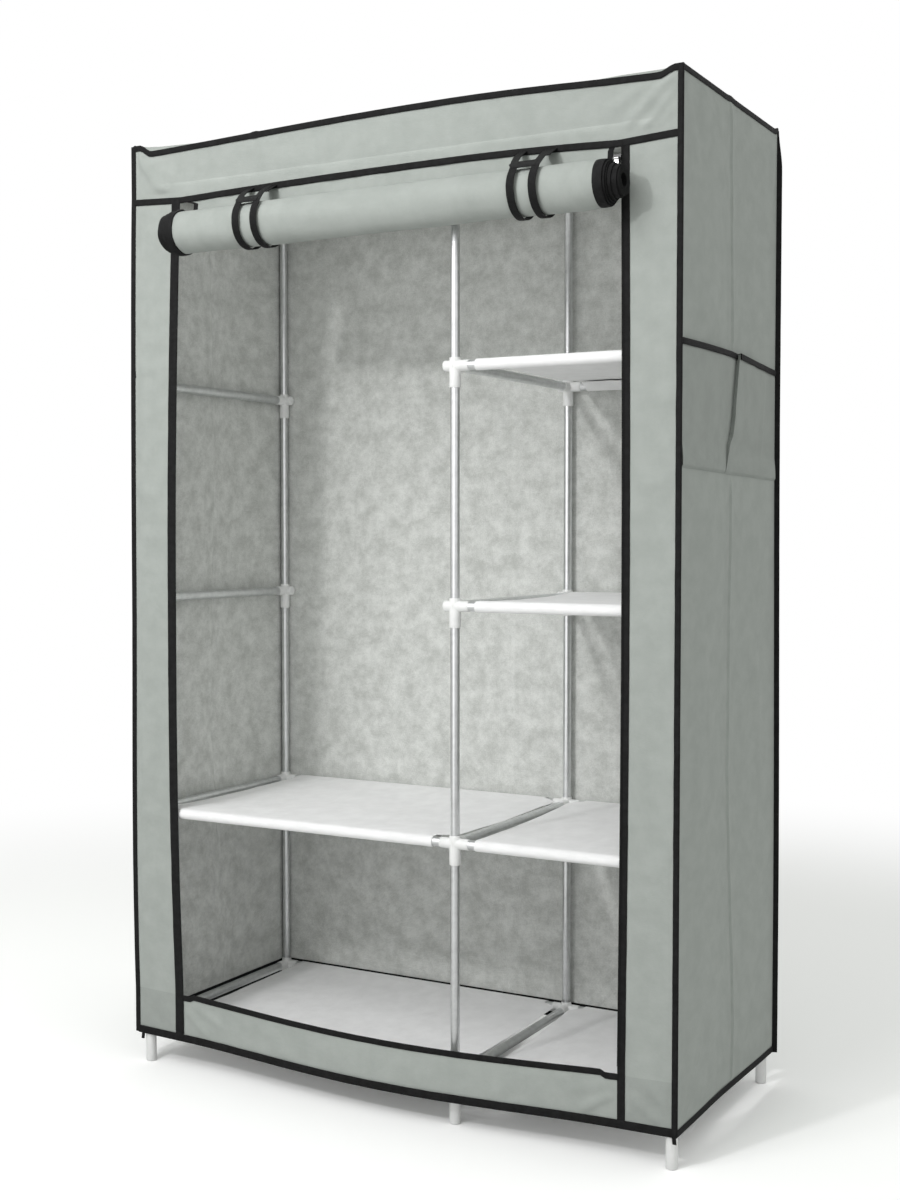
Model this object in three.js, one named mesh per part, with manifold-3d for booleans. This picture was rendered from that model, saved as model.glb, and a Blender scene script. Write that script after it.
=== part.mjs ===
// A free-standing fabric wardrobe: steel tubes in plastic socket connectors, cloth shelves,
// a sewn cloth cover with taped seams and side pockets, and a roll-up door between two zips.
// Millimetres, +Z up, the door faces -Y and the floor is z = 0.

import * as THREE from 'three';
import { mergeVertices } from 'three/addons/utils/BufferGeometryUtils.js';
import Module from 'manifold-3d';

const wasm = await Module();
wasm.setup();

// Overall sizes
const coverWidth = 1100;
const coverDepth = 480;
const hemHeight = 58;
const lowestLevel = 80;
const levelSpacing = 410;
const levelCount = 5;
const shelfBaySpan = 400;

// Tubes
const tubeDiameter = 16;
const tubeWall = 0.6;
const tubeSides = 8;

// Connectors: reaches are from the point where the tube axes cross
const socketClearance = 0.3;
const socketWall = 1.7;
const armWall = 1.2;
const armReach = 28;
const stubReach = 20;
const legReach = 37;
const neckReach = 14;
const topReach = 26;
const topSocketDepth = 12;
const footRound = 2;
const footSole = 6;
const teeHalfLength = 15;
const postSides = 10;

// Shelves
const shelfCloth = 1.2;
const sleeveClearance = 0.4;
const shelfSetback = 42;
const shelfSag = 4;
const shelfSegments = tubeSides / 2;

// Cover cloth
const clothThickness = 1.2;
const seamGap = 0.3;
const coverGap = 0.8;
const peakFlat = 26;
const peakSpread = 48;
const archDrop = 16;
const topSag = 6;
const sideSwell = 4;
const swellFade = 60;
const creaseY = 20;
const backSwell = 4;
const backFolds = 4;

// Cells of the grids that the cloth panels are drawn on
const topCellsX = 12;
const topCellsY = 4;
const backRows = 6;
const openingRows = 6;
const bandRows = 2;
const bandCells = 8;
const rowsBelowPocket = 5;
const rowsAbovePocket = 2;
const pocketCells = 5;
const curtainCells = 8;

// Front of the cover
const headerHeight = 99;
const headerArch = 8;
const bandHeight = 82;
const sideBandWidth = 98;
const hemSag = 8;
const bandBillow = 28;
const billowTopShare = 0.6;
const zipTapeWidth = 19;
const zipTapeHold = 8;
const billowMargin = 5;
const leftZipBow = 16;

// Seam tape
const tapeWidth = 10;
const tapeThickness = 1.2;
const tapeReturn = 4;
const tapeOverEdge = 2;
const tapeLap = 0.2;
const uprightLayer = 0;
const sideLayer = 1;
const crossLayer = 2;

// Side pockets
const pocketTop = 1322;
const pocketHeight = 208;
const pocketBulge = 12;
const pocketBulgeShare = 0.7;

// Rolled door
const rollDiameter = 90;
const rollCoreDiameter = 18;
const rollTurns = 9;
const rollSteps = 14;
const rollAxisZ = 1580;
const rollStandOff = 6;
const rollShift = 8;
const rollEndClearance = 19;
const telescopeRight = 36;
const telescopeLeft = 24;
const curtainHang = 12;

// Straps round the rolled door
const strapWidth = 15;
const strapPitch = 38;
const strapThickness = 1.2;
const strapLift = 0.6;
const strapRise = 18;
const strapInsetLeft = 184;
const strapInsetRight = 121;
const strapSteps = 12;
const crossTapeWidth = 12;

// Zip sliders and pull tabs
const sliderWidth = 13;
const sliderHeight = 14;
const sliderPlate = 1.6;
const sliderNoseShare = 0.55;
const noseTaperShare = 0.25;
const sliderDrop = 3;
const lugWidth = 1.6;
const lugLip = 0.8;
const pinDiameter = 1.8;
const pinClearance = 0.4;
const tabEyeWall = 1.1;
const tabWidth = 7;
const tabLength = 20;
const tabThickness = 1.2;
const tabHoleDiameter = 3.6;
const roundSides = 10;

// Cuts run this far past the faces they open
const overrun = 2;

// Radii and places that follow from the sizes above
const tubeRadius = tubeDiameter / 2;
const tubeBore = tubeRadius - tubeWall;
const socketRadius = tubeRadius + socketClearance;
const sleeveRadius = socketRadius + socketWall;
const armRadius = socketRadius + armWall;
const halfWidth = coverWidth / 2;
const halfDepth = coverDepth / 2;
const postX = halfWidth - clothThickness - coverGap - sleeveRadius;
const postY = halfDepth - clothThickness - coverGap - sleeveRadius;
const centrePostX = postX - shelfBaySpan;
const levels = Array.from({ length: levelCount }, (unused, level) => lowestLevel + level * levelSpacing);
const topLevel = levels[levelCount - 1];
const postTop = topLevel + topReach;
const coverTop = postTop + coverGap + clothThickness;
const tapeMiddle = seamGap + tapeThickness / 2;
const tapeOut = seamGap + tapeThickness;
const headerBottom = coverTop - headerHeight;
const bandTop = hemHeight + bandHeight;
const openingX = halfWidth - sideBandWidth;
const zipLineX = openingX - zipTapeWidth + zipTapeHold;
const billowX = zipLineX - billowMargin;
const pocketBottom = pocketTop - pocketHeight;
const rollRadius = rollDiameter / 2;
const rollAxisY = -halfDepth - rollStandOff - rollRadius;
const rollHalfLength = zipLineX - rollEndClearance;
const strapLeftX = rollShift - rollHalfLength + strapInsetLeft;
const strapRightX = rollShift + rollHalfLength - strapInsetRight;

const columns = { left: -postX, centre: centrePostX, right: postX };
const rows = { front: -postY, rear: postY };
const bays = {
  left: { from: 'left', to: 'centre', tubeLevels: [0, 1, 4], shelfLevels: [0, 1] },
  right: { from: 'centre', to: 'right', tubeLevels: [0, 1, 2, 3, 4], shelfLevels: [0, 1, 2, 3] },
};

// Finishes
const steel = new THREE.MeshStandardMaterial({ color: 0xb9bcbe, roughness: 0.32, metalness: 0.9 });
const whitePlastic = new THREE.MeshStandardMaterial({ color: 0xe9ebec, roughness: 0.5, metalness: 0 });
const shelfFabric = new THREE.MeshStandardMaterial({ color: 0xf0f0f2, roughness: 0.9, metalness: 0 });
const coverFabric = new THREE.MeshStandardMaterial({ color: 0xb0b6b2, roughness: 0.9, metalness: 0 });
const blackTape = new THREE.MeshStandardMaterial({ color: 0x262726, roughness: 0.85, metalness: 0 });
const zipMetal = new THREE.MeshStandardMaterial({ color: 0xa5a7a8, roughness: 0.35, metalness: 0.85 });

const wardrobe = new THREE.Group();

function addPiece(name, geometry, material) {
  const mesh = new THREE.Mesh(geometry, material);
  mesh.name = name;
  wardrobe.add(mesh);
  return mesh;
}

// Turn a geometry into a solid that can be joined and cut, and back
function solidOf(geometry) {
  const bare = new THREE.BufferGeometry();
  bare.setAttribute('position', geometry.attributes.position);
  bare.setIndex(geometry.index);
  const merged = mergeVertices(bare);
  return new wasm.Manifold(new wasm.Mesh({
    numProp: 3,
    vertProperties: merged.attributes.position.array,
    triVerts: Uint32Array.from(merged.index.array),
  }));
}

function geometryOf(solid) {
  const mesh = solid.getMesh();
  const geometry = new THREE.BufferGeometry();
  geometry.setAttribute('position', new THREE.BufferAttribute(mesh.vertProperties, 3));
  geometry.setIndex(new THREE.BufferAttribute(mesh.triVerts, 1));
  return geometry;
}

function mirroredX(solid) {
  return solid.mirror([1, 0, 0]);
}

function joined(solids) {
  return solids.reduce((whole, solid) => whole.add(solid));
}

// Six times the volume inside a list of triangle corners, negative when they face inwards
function windingOf(corners) {
  let total = 0;
  for (let i = 0; i < corners.length; i += 3) {
    total += corners[i].dot(new THREE.Vector3().crossVectors(corners[i + 1], corners[i + 2]));
  }
  return total;
}

// A closed mesh from a list of triangle corners, turned to face outwards
function closedGeometry(corners) {
  const outwards = windingOf(corners) < 0 ? corners.slice().reverse() : corners;
  return mergeVertices(new THREE.BufferGeometry().setFromPoints(outwards));
}

function addQuad(corners, a, b, c, d) {
  corners.push(a, b, c, a, c, d);
}

// A solid through convex rings of matching points, with flat ends
function loft(rings) {
  const corners = [];
  const count = rings[0].length;
  for (let r = 1; r < rings.length; r += 1) {
    for (let i = 0; i < count; i += 1) {
      const next = (i + 1) % count;
      addQuad(corners, rings[r - 1][i], rings[r - 1][next], rings[r][next], rings[r][i]);
    }
  }
  const last = rings[rings.length - 1];
  for (let i = 1; i < count - 1; i += 1) {
    corners.push(rings[0][0], rings[0][i + 1], rings[0][i]);
    corners.push(last[0], last[i], last[i + 1]);
  }
  return closedGeometry(corners);
}

// A sheet on a grid of columns and rows: face and back give its two sides, isCloth leaves openings
function sheet(columnCount, rowCount, face, back, isCloth = () => true) {
  const corners = [];
  const inside = (c, r) => c >= 0 && r >= 0 && c < columnCount && r < rowCount && isCloth(c, r);
  const wall = (c0, r0, c1, r1) => addQuad(corners, face(c0, r0), face(c1, r1), back(c1, r1), back(c0, r0));
  for (let c = 0; c < columnCount; c += 1) {
    for (let r = 0; r < rowCount; r += 1) {
      if (!inside(c, r)) continue;
      addQuad(corners, face(c, r), face(c + 1, r), face(c + 1, r + 1), face(c, r + 1));
      addQuad(corners, back(c, r), back(c, r + 1), back(c + 1, r + 1), back(c + 1, r));
      if (!inside(c, r - 1)) wall(c + 1, r, c, r);
      if (!inside(c, r + 1)) wall(c, r + 1, c + 1, r + 1);
      if (!inside(c - 1, r)) wall(c, r, c, r + 1);
      if (!inside(c + 1, r)) wall(c + 1, r + 1, c + 1, r);
    }
  }
  return closedGeometry(corners);
}

// A box between two corners
function block(low, high) {
  const size = high.map((value, axis) => value - low[axis]);
  const middle = high.map((value, axis) => (value + low[axis]) / 2);
  return new THREE.BoxGeometry(...size).translate(...middle);
}

// A turned solid about +Z from a profile of radius and height
function turned(profile, sides) {
  const points = profile.map(([radius, height]) => new THREE.Vector2(radius, height));
  return new THREE.LatheGeometry(points, sides).rotateX(Math.PI / 2);
}

function roundBar(radius, from, to, sides) {
  return turned([[0, from], [radius, from], [radius, to], [0, to]], sides);
}

// Aim a shape that runs along +Z towards a level direction
function aimed(geometry, [x, y]) {
  return x === 0 ? geometry.rotateX(-y * Math.PI / 2) : geometry.rotateY(x * Math.PI / 2);
}

function evenly(from, to, count) {
  return Array.from({ length: count + 1 }, (unused, i) => from + ((to - from) * i) / count);
}

// Frame: one post with its tube sections, foot and connectors
function postOutline() {
  const profile = [[0, 0], [sleeveRadius - footRound, 0], [sleeveRadius, footRound]];
  levels.forEach((z, level) => {
    if (level > 0) profile.push([tubeRadius, z - legReach], [sleeveRadius, z - legReach]);
    if (level < levelCount - 1) profile.push([sleeveRadius, z + neckReach], [tubeRadius, z + neckReach]);
  });
  profile.push([sleeveRadius, postTop], [0, postTop]);
  return profile;
}

function postBore() {
  const seat = postTop - topSocketDepth;
  const mouth = postTop + overrun;
  return [[0, footSole], [tubeBore, footSole], [tubeBore, seat], [socketRadius, seat],
    [socketRadius, mouth], [0, mouth]];
}

// The arms of one connector: open sockets where a tube is held, closed stubs where none is
function armsAt(columnName, rowName, level) {
  const inward = rowName === 'front' ? 1 : -1;
  const arms = [{ aim: [0, inward], open: true }];
  Object.values(bays).forEach((bay) => {
    const open = bay.tubeLevels.includes(level);
    if (bay.from === columnName) arms.push({ aim: [1, 0], open });
    if (bay.to === columnName) arms.push({ aim: [-1, 0], open });
  });
  return arms;
}

function post(columnName, rowName) {
  const bodies = [solidOf(turned(postOutline(), postSides))];
  const cuts = [solidOf(turned(postBore(), postSides))];
  levels.forEach((z, level) => {
    armsAt(columnName, rowName, level).forEach(({ aim, open }) => {
      const reach = open ? armReach : stubReach;
      bodies.push(solidOf(aimed(roundBar(armRadius, 0, reach, tubeSides), aim).translate(0, 0, z)));
      if (!open) return;
      const socket = roundBar(socketRadius, sleeveRadius, reach + overrun, tubeSides);
      cuts.push(solidOf(aimed(socket, aim).translate(0, 0, z)));
    });
  });
  const solid = joined(bodies).subtract(joined(cuts));
  return geometryOf(solid).translate(columns[columnName], rows[rowName], 0);
}

// A straight tube whose ends stand in the sockets at both ends of its span
function tube(span) {
  const from = sleeveRadius + seamGap;
  const to = span - sleeveRadius - seamGap;
  return turned([[tubeBore, from], [tubeRadius, from], [tubeRadius, to], [tubeBore, to], [tubeBore, from]],
    tubeSides);
}

// A depth tube with a tee at its middle that holds one end of the hanging rail
function teeTube(span, towards) {
  const middle = span / 2;
  const sleeve = roundBar(armRadius, middle - teeHalfLength, middle + teeHalfLength, tubeSides);
  const bar = roundBar(tubeRadius, sleeveRadius + seamGap, span - sleeveRadius - seamGap, tubeSides);
  const arm = aimed(roundBar(armRadius, 0, armReach, tubeSides), [towards, 0]).translate(0, middle, 0);
  const bore = roundBar(tubeBore, 0, span, tubeSides);
  const socket = roundBar(socketRadius, sleeveRadius, armReach + overrun, tubeSides);
  const solid = joined([solidOf(aimed(bar, [0, 1])), solidOf(aimed(sleeve, [0, 1])), solidOf(arm)]);
  return geometryOf(solid
    .subtract(solidOf(aimed(bore, [0, 1])))
    .subtract(solidOf(aimed(socket, [towards, 0]).translate(0, middle, 0))));
}

// A cloth shelf: a sagging panel with a sewn sleeve round the front tube and the rear tube
function shelf(from, to) {
  const inner = tubeRadius + sleeveClearance;
  const outer = inner + shelfCloth;
  const meet = Math.asin(inner / outer);
  const reach = postY - outer * Math.cos(meet);
  const section = new THREE.Shape();
  section.moveTo(-postY, outer);
  section.absarc(-postY, 0, outer, Math.PI / 2, Math.PI * 2 + meet, false);
  section.quadraticCurveTo(0, inner - 2 * shelfSag, reach, inner);
  section.absarc(postY, 0, outer, Math.PI - meet, Math.PI * 2 + Math.PI / 2, false);
  section.quadraticCurveTo(0, outer - 2 * shelfSag, -postY, outer);
  [-postY, postY].forEach((y) => {
    section.holes.push(new THREE.Path().absarc(y, 0, inner, 0, Math.PI * 2, true));
  });
  const depth = to - from - 2 * shelfSetback;
  const settings = { depth, bevelEnabled: false, curveSegments: shelfSegments };
  const geometry = new THREE.ExtrudeGeometry(section, settings);
  return geometry.rotateX(Math.PI / 2).rotateZ(Math.PI / 2).translate(from + shelfSetback, 0, 0);
}

// Heights and bulges of the cover cloth
function fade(distance, near, far) {
  return 1 - THREE.MathUtils.smoothstep(distance, near, far);
}

// The share of the way from the centre posts to a line left or right of them
function fromCentre(x, line) {
  return (x - centrePostX) / ((x < centrePostX ? -line : line) - centrePostX);
}

// The top arches over the centre posts and is pushed up again along both sides
function topSurface(x, y) {
  const side = fade(halfWidth - Math.abs(x), peakFlat, peakSpread);
  const bayEnd = x < centrePostX ? -postX : postX;
  const across = THREE.MathUtils.clamp((x - centrePostX) / (bayEnd - centrePostX), 0, 1);
  const along = THREE.MathUtils.clamp((y + postY) / (2 * postY), 0, 1);
  const sag = Math.sin(Math.PI * across) ** 2 * Math.sin(Math.PI * along) ** 2;
  return coverTop - archDrop * fromCentre(x, halfWidth) ** 2 * (1 - side) - topSag * sag;
}

function hemZ(x) {
  return hemHeight - hemSag * (1 - (x / halfWidth) ** 2);
}

function bandTopZ(x) {
  return bandTop - hemSag * (1 - Math.min(Math.abs(x) / openingX, 1) ** 2);
}

function headerZ(x) {
  return headerBottom - headerArch * Math.min(fromCentre(x, zipLineX), 1) ** 2;
}

// Forward bulge of the bottom band: up is 0 at the hem and 1 at its top
function billow(x, up) {
  const across = Math.max(1 - (x / billowX) ** 2, 0) ** 2;
  return bandBillow * across * (1 - (1 - billowTopShare) * up);
}

function leftBow(z) {
  const up = THREE.MathUtils.clamp((z - bandTop) / (headerBottom - bandTop), 0, 1);
  return leftZipBow * Math.sin(Math.PI * up);
}

// Swell of a side panel either side of its middle crease, flat behind the pocket
function sideFold(y, z) {
  const from = y < creaseY ? -halfDepth : creaseY;
  const to = y < creaseY ? creaseY : halfDepth;
  const lobe = Math.sin((Math.PI * (y - from)) / (to - from)) ** 2;
  const fromPocket = Math.max(z - pocketTop, pocketBottom - z, 0);
  const fromEnd = Math.min(z - hemHeight, coverTop - z);
  return sideSwell * lobe * (1 - fade(fromPocket, 0, swellFade)) * (1 - fade(fromEnd, 0, swellFade));
}

function backFold(x, z) {
  const fromEnd = Math.min(z - hemHeight, coverTop - z);
  const wave = Math.sin((Math.PI * backFolds * (x + halfWidth)) / coverWidth) ** 2;
  return backSwell * wave * (1 - fade(fromEnd, 0, swellFade));
}

// Grid lines, closer together where the posts at the sides push the cloth up
const peakSteps = [0, peakFlat, (peakFlat + peakSpread) / 2, peakSpread];
const leftLines = peakSteps.map((step) => step - halfWidth);
const rightLines = peakSteps.map((step) => halfWidth - step).reverse();
const innerLinesX = evenly(peakSpread - halfWidth, halfWidth - peakSpread, topCellsX).slice(1, -1);
const topLinesX = [...leftLines, ...innerLinesX, ...rightLines];
const bandLinesX = evenly(-billowX, billowX, bandCells);
const frontLinesX = [...leftLines, -openingX, ...bandLinesX, openingX, ...rightLines];
const depthInset = clothThickness + seamGap;
const frontLinesY = peakSteps.map((step) => step - halfDepth);
const rearLinesY = peakSteps.map((step) => halfDepth - step).reverse();
const innerLinesY = evenly(peakSpread - halfDepth, halfDepth - peakSpread, topCellsY).slice(1, -1);
const topLinesY = [...frontLinesY, ...innerLinesY, ...rearLinesY];
const sideLinesY = [depthInset - halfDepth, ...topLinesY.slice(1, -1), halfDepth - depthInset];

function coverTopPanel() {
  const height = (c, r) => topSurface(topLinesX[c], topLinesY[r]);
  const face = (c, r) => new THREE.Vector3(topLinesX[c], topLinesY[r], height(c, r));
  const back = (c, r) => face(c, r).setZ(height(c, r) - clothThickness);
  return sheet(topLinesX.length - 1, topLinesY.length - 1, face, back);
}

// The front: header, side bands and bottom band round the door opening
const openingFirst = frontLinesX.indexOf(-openingX);
const openingLast = frontLinesX.indexOf(openingX);

function frontRowZ(x, row) {
  if (row <= bandRows) return THREE.MathUtils.lerp(hemZ(x), bandTopZ(x), row / bandRows);
  const top = topSurface(x, -halfDepth) - clothThickness - seamGap;
  const headerRow = bandRows + openingRows;
  if (row <= headerRow) return THREE.MathUtils.lerp(bandTopZ(x), headerZ(x), (row - bandRows) / openingRows);
  return THREE.MathUtils.lerp(headerZ(x), top, (row - headerRow) / bandRows);
}

function frontPoint(c, r) {
  const x = frontLinesX[c];
  const z = frontRowZ(x, r);
  const band = THREE.MathUtils.clamp((x + halfWidth) / (halfWidth - openingX), 0, 1);
  const bow = x <= -openingX ? leftBow(z) * band : 0;
  const out = r <= bandRows ? billow(x, r / bandRows) : 0;
  return new THREE.Vector3(x - bow, -halfDepth - out, z);
}

function coverFrontPanel() {
  const back = (c, r) => frontPoint(c, r).add(new THREE.Vector3(0, clothThickness, 0));
  const besideDoor = (c) => c < openingFirst || c >= openingLast;
  const isCloth = (c, r) => besideDoor(c) || r < bandRows || r >= bandRows + openingRows;
  return sheet(frontLinesX.length - 1, 2 * bandRows + openingRows, frontPoint, back, isCloth);
}

function coverBackPanel() {
  const point = (c, r, y) => {
    const x = topLinesX[c];
    const top = topSurface(x, halfDepth) - clothThickness - seamGap;
    const z = THREE.MathUtils.lerp(hemHeight, top, r / backRows);
    return new THREE.Vector3(x, y + backFold(x, z), z);
  };
  const face = (c, r) => point(c, r, halfDepth);
  const back = (c, r) => point(c, r, halfDepth - clothThickness);
  return sheet(topLinesX.length - 1, backRows, face, back);
}

function coverSidePanel(side) {
  const upper = pocketTop + swellFade;
  const lines = [...evenly(hemHeight, pocketBottom, rowsBelowPocket), pocketTop];
  const point = (c, r, inset) => {
    const y = sideLinesY[c];
    const top = topSurface(halfWidth, topLinesY[c]) - clothThickness - seamGap;
    const above = (r - lines.length) / rowsAbovePocket;
    const z = r < lines.length ? lines[r] : THREE.MathUtils.lerp(upper, top, above);
    return new THREE.Vector3(side * (halfWidth - inset + sideFold(y, z)), y, z);
  };
  const face = (c, r) => point(c, r, 0);
  const back = (c, r) => point(c, r, clothThickness);
  return sheet(sideLinesY.length - 1, lines.length + rowsAbovePocket, face, back);
}

// Side pockets: one cloth with a sewn middle line, open along the top
const pocketEnd = halfDepth - tapeReturn - seamGap;
const frontHalfY = evenly(-pocketEnd, creaseY, pocketCells);
const rearHalfY = evenly(creaseY, pocketEnd, pocketCells);
const pocketLinesY = [...frontHalfY, ...rearHalfY.slice(1)];
const pocketFace = halfWidth + seamGap + clothThickness;

function pocketOut(y, z) {
  const from = y < creaseY ? -pocketEnd : creaseY;
  const to = y < creaseY ? creaseY : pocketEnd;
  const up = THREE.MathUtils.clamp((z - pocketBottom) / pocketHeight, 0, 1);
  return pocketBulge * Math.sin((Math.PI * (y - from)) / (to - from)) * up ** pocketBulgeShare;
}

function pocket(side) {
  const point = (c, r, x) => {
    const y = pocketLinesY[c];
    const z = THREE.MathUtils.lerp(pocketBottom, pocketTop, r / pocketCells);
    return new THREE.Vector3(side * (x + pocketOut(y, z)), y, z);
  };
  const face = (c, r) => point(c, r, pocketFace);
  const back = (c, r) => point(c, r, pocketFace - clothThickness);
  return sheet(pocketLinesY.length - 1, pocketCells, face, back);
}

// Seam tape folded over an edge: face and edge are the outward ways of the two sides it lies on,
// width and fold its reach along them, and layer lifts a tape that crosses over another
function angleRing(corner, face, edge, width, fold, layer) {
  const near = seamGap + layer * tapeLap;
  const far = near + tapeThickness;
  const outline = [[near, near], [near, -width], [far, -width], [far, far], [-fold, far], [-fold, near]];
  return outline.map(([out, up]) => corner.clone().addScaledVector(face, out).addScaledVector(edge, up));
}

function flatRing(corner, face, edge, width, over, layer) {
  const near = seamGap + layer * tapeLap;
  const far = near + tapeThickness;
  const outline = [[near, over], [near, over - width], [far, over - width], [far, over]];
  return outline.map(([out, up]) => corner.clone().addScaledVector(face, out).addScaledVector(edge, up));
}

const alongX = (side) => new THREE.Vector3(side, 0, 0);
const alongY = (side) => new THREE.Vector3(0, side, 0);
const alongZ = (side) => new THREE.Vector3(0, 0, side);

// Tape over the four upright corner seams
function cornerTape(end) {
  const heights = [hemHeight - tapeMiddle, coverTop + tapeMiddle];
  return loft(heights.map((z) => {
    const corner = new THREE.Vector3(halfWidth, end * halfDepth, z);
    return angleRing(corner, alongY(end), alongX(1), tapeWidth, tapeReturn, uprightLayer);
  }));
}

// Tape over the seams round the top
function topTape(end) {
  const xs = [-halfWidth - tapeMiddle, ...topLinesX, halfWidth + tapeMiddle];
  return loft(xs.map((x) => {
    const z = topSurface(THREE.MathUtils.clamp(x, -halfWidth, halfWidth), halfDepth);
    const corner = new THREE.Vector3(x, end * halfDepth, z);
    return angleRing(corner, alongY(end), alongZ(1), tapeWidth, tapeReturn, crossLayer);
  }));
}

function topSideTape() {
  const ys = [-halfDepth - tapeMiddle, ...topLinesY, halfDepth + tapeMiddle];
  return loft(ys.map((y) => {
    const z = topSurface(halfWidth, THREE.MathUtils.clamp(y, -halfDepth, halfDepth));
    const corner = new THREE.Vector3(halfWidth, y, z);
    return angleRing(corner, alongX(1), alongZ(1), tapeWidth, tapeReturn, sideLayer);
  }));
}

// Tape round the lower edge, following the billow of the front
function hemFrontTape() {
  const xs = [-halfWidth - tapeMiddle, ...frontLinesX, halfWidth + tapeMiddle];
  return loft(xs.map((x) => {
    const z = hemZ(THREE.MathUtils.clamp(x, -halfWidth, halfWidth));
    const corner = new THREE.Vector3(x, -halfDepth - billow(x, 0), z);
    return angleRing(corner, alongY(-1), alongZ(-1), tapeWidth, clothThickness, crossLayer);
  }));
}

function hemBackTape() {
  return loft([-halfWidth - tapeMiddle, halfWidth + tapeMiddle].map((x) => {
    const corner = new THREE.Vector3(x, halfDepth, hemHeight);
    return angleRing(corner, alongY(1), alongZ(-1), tapeWidth, clothThickness, crossLayer);
  }));
}

function hemSideTape() {
  return loft([-halfDepth - tapeMiddle, halfDepth + tapeMiddle].map((y) => {
    const corner = new THREE.Vector3(halfWidth, y, hemHeight);
    return angleRing(corner, alongX(1), alongZ(-1), tapeWidth, clothThickness, sideLayer);
  }));
}

// Tape along the header seam, along the top of the bottom band, and down both sides of the door
function headerTape() {
  const xs = [-halfWidth - tapeMiddle, ...frontLinesX.slice(1, -1), halfWidth + tapeMiddle];
  return loft(xs.map((x) => {
    const corner = new THREE.Vector3(x, -halfDepth, headerZ(x));
    return flatRing(corner, alongY(-1), alongZ(1), tapeWidth, tapeOverEdge, crossLayer);
  }));
}

function bandTape() {
  const xs = [-zipLineX - tapeOverEdge, ...bandLinesX, zipLineX + tapeOverEdge];
  return loft(xs.map((x) => {
    const top = bandTopZ(x);
    const lowShare = (top + tapeOverEdge - tapeWidth - hemZ(x)) / (top - hemZ(x));
    const corner = new THREE.Vector3(x, -halfDepth - billow(x, lowShare), top);
    return flatRing(corner, alongY(-1), alongZ(1), tapeWidth, tapeOverEdge, crossLayer);
  }));
}

function zipTape(bow) {
  const low = hemZ(openingX) + tapeOverEdge;
  const between = evenly(bandTop, headerBottom, openingRows).slice(0, -1);
  const zs = [low, ...between, headerZ(openingX) - tapeOverEdge];
  return loft(zs.map((z) => {
    const corner = new THREE.Vector3(zipLineX + bow * leftBow(z), -halfDepth, z);
    return flatRing(corner, alongY(-1), alongX(-1), zipTapeWidth, 0, uprightLayer);
  }));
}

function pocketTape() {
  const ys = [-halfDepth - tapeMiddle, ...pocketLinesY, halfDepth + tapeMiddle];
  return loft(ys.map((y) => {
    const onCorner = Math.abs(y) > pocketEnd;
    const face = pocketFace + (onCorner ? 0 : pocketOut(y, pocketTop));
    const corner = new THREE.Vector3(face, y, pocketTop);
    const ring = flatRing(corner, alongX(1), alongZ(1), tapeWidth, tapeOverEdge, uprightLayer);
    if (onCorner) [ring[0], ring[1]].forEach((point) => point.setX(halfWidth + tapeMiddle));
    return ring;
  }));
}

function coverBinding() {
  const edges = [topTape(-1), topTape(1), hemFrontTape(), hemBackTape()].map(solidOf);
  const front = [headerTape(), bandTape(), zipTape(0)].map(solidOf);
  const side = [cornerTape(-1), cornerTape(1), topSideTape(), hemSideTape(), pocketTape()].map(solidOf);
  const leftZip = mirroredX(solidOf(zipTape(1)));
  return geometryOf(joined([...edges, ...front, ...side, ...side.map(mirroredX), leftZip]));
}

// Rolled door: one cloth wound from its lower edge outwards, its ends drawn out like a telescope
function rollPoint(step, depth, end) {
  const share = step / (rollTurns * rollSteps);
  const angle = (-2 * Math.PI * step) / rollSteps;
  const radius = THREE.MathUtils.lerp(rollRadius, rollCoreDiameter / 2, share) - depth;
  const reach = rollHalfLength + (end > 0 ? telescopeRight : telescopeLeft) * share;
  const y = rollAxisY + radius * Math.cos(angle);
  return new THREE.Vector3(rollShift + end * reach, y, rollAxisZ + radius * Math.sin(angle));
}

function doorRoll() {
  const face = (c, r) => rollPoint(c, 0, r === 0 ? -1 : 1);
  const back = (c, r) => rollPoint(c, clothThickness, r === 0 ? -1 : 1);
  return sheet(rollTurns * rollSteps, 1, face, back);
}

// The least gap between one turn of the roll and the next, measured on its points
function leastRollGap() {
  let least = Infinity;
  const steps = rollTurns * rollSteps;
  for (let step = 0; step + rollSteps / 2 < steps; step += 1) {
    const inside = rollPoint(step, clothThickness, 1).setX(0);
    for (let other = step + rollSteps / 2; other <= steps; other += 1) {
      least = Math.min(least, inside.distanceTo(rollPoint(other, 0, 1).setX(0)));
    }
  }
  return least;
}

// The part of the door that hangs from the header seam down to the roll
function doorCurtain() {
  const xs = evenly(rollShift - rollHalfLength, rollShift + rollHalfLength, curtainCells);
  const bottomY = rollAxisY + rollRadius - clothThickness;
  const zs = (x) => [rollAxisZ + seamGap, headerZ(x) - curtainHang, headerZ(x) - seamGap];
  const ys = [bottomY, -halfDepth, -halfDepth];
  const face = (c, r) => new THREE.Vector3(xs[c], ys[r], zs(xs[c])[r]);
  const back = (c, r) => face(c, r).add(new THREE.Vector3(0, clothThickness, 0));
  return sheet(xs.length - 1, ys.length - 1, face, back);
}

// The point where a line from outside touches a circle, on the side that turn picks
function tangentAngle(y, z, radius, turn) {
  return Math.atan2(z, y) + turn * Math.acos(radius / Math.hypot(y, z));
}

// The four corners of a strap's section, as its side and its face
const strapSection = [[-1, 0], [1, 0], [1, 1], [-1, 1]];
const strapRadius = rollRadius + strapLift + clothThickness;

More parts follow.
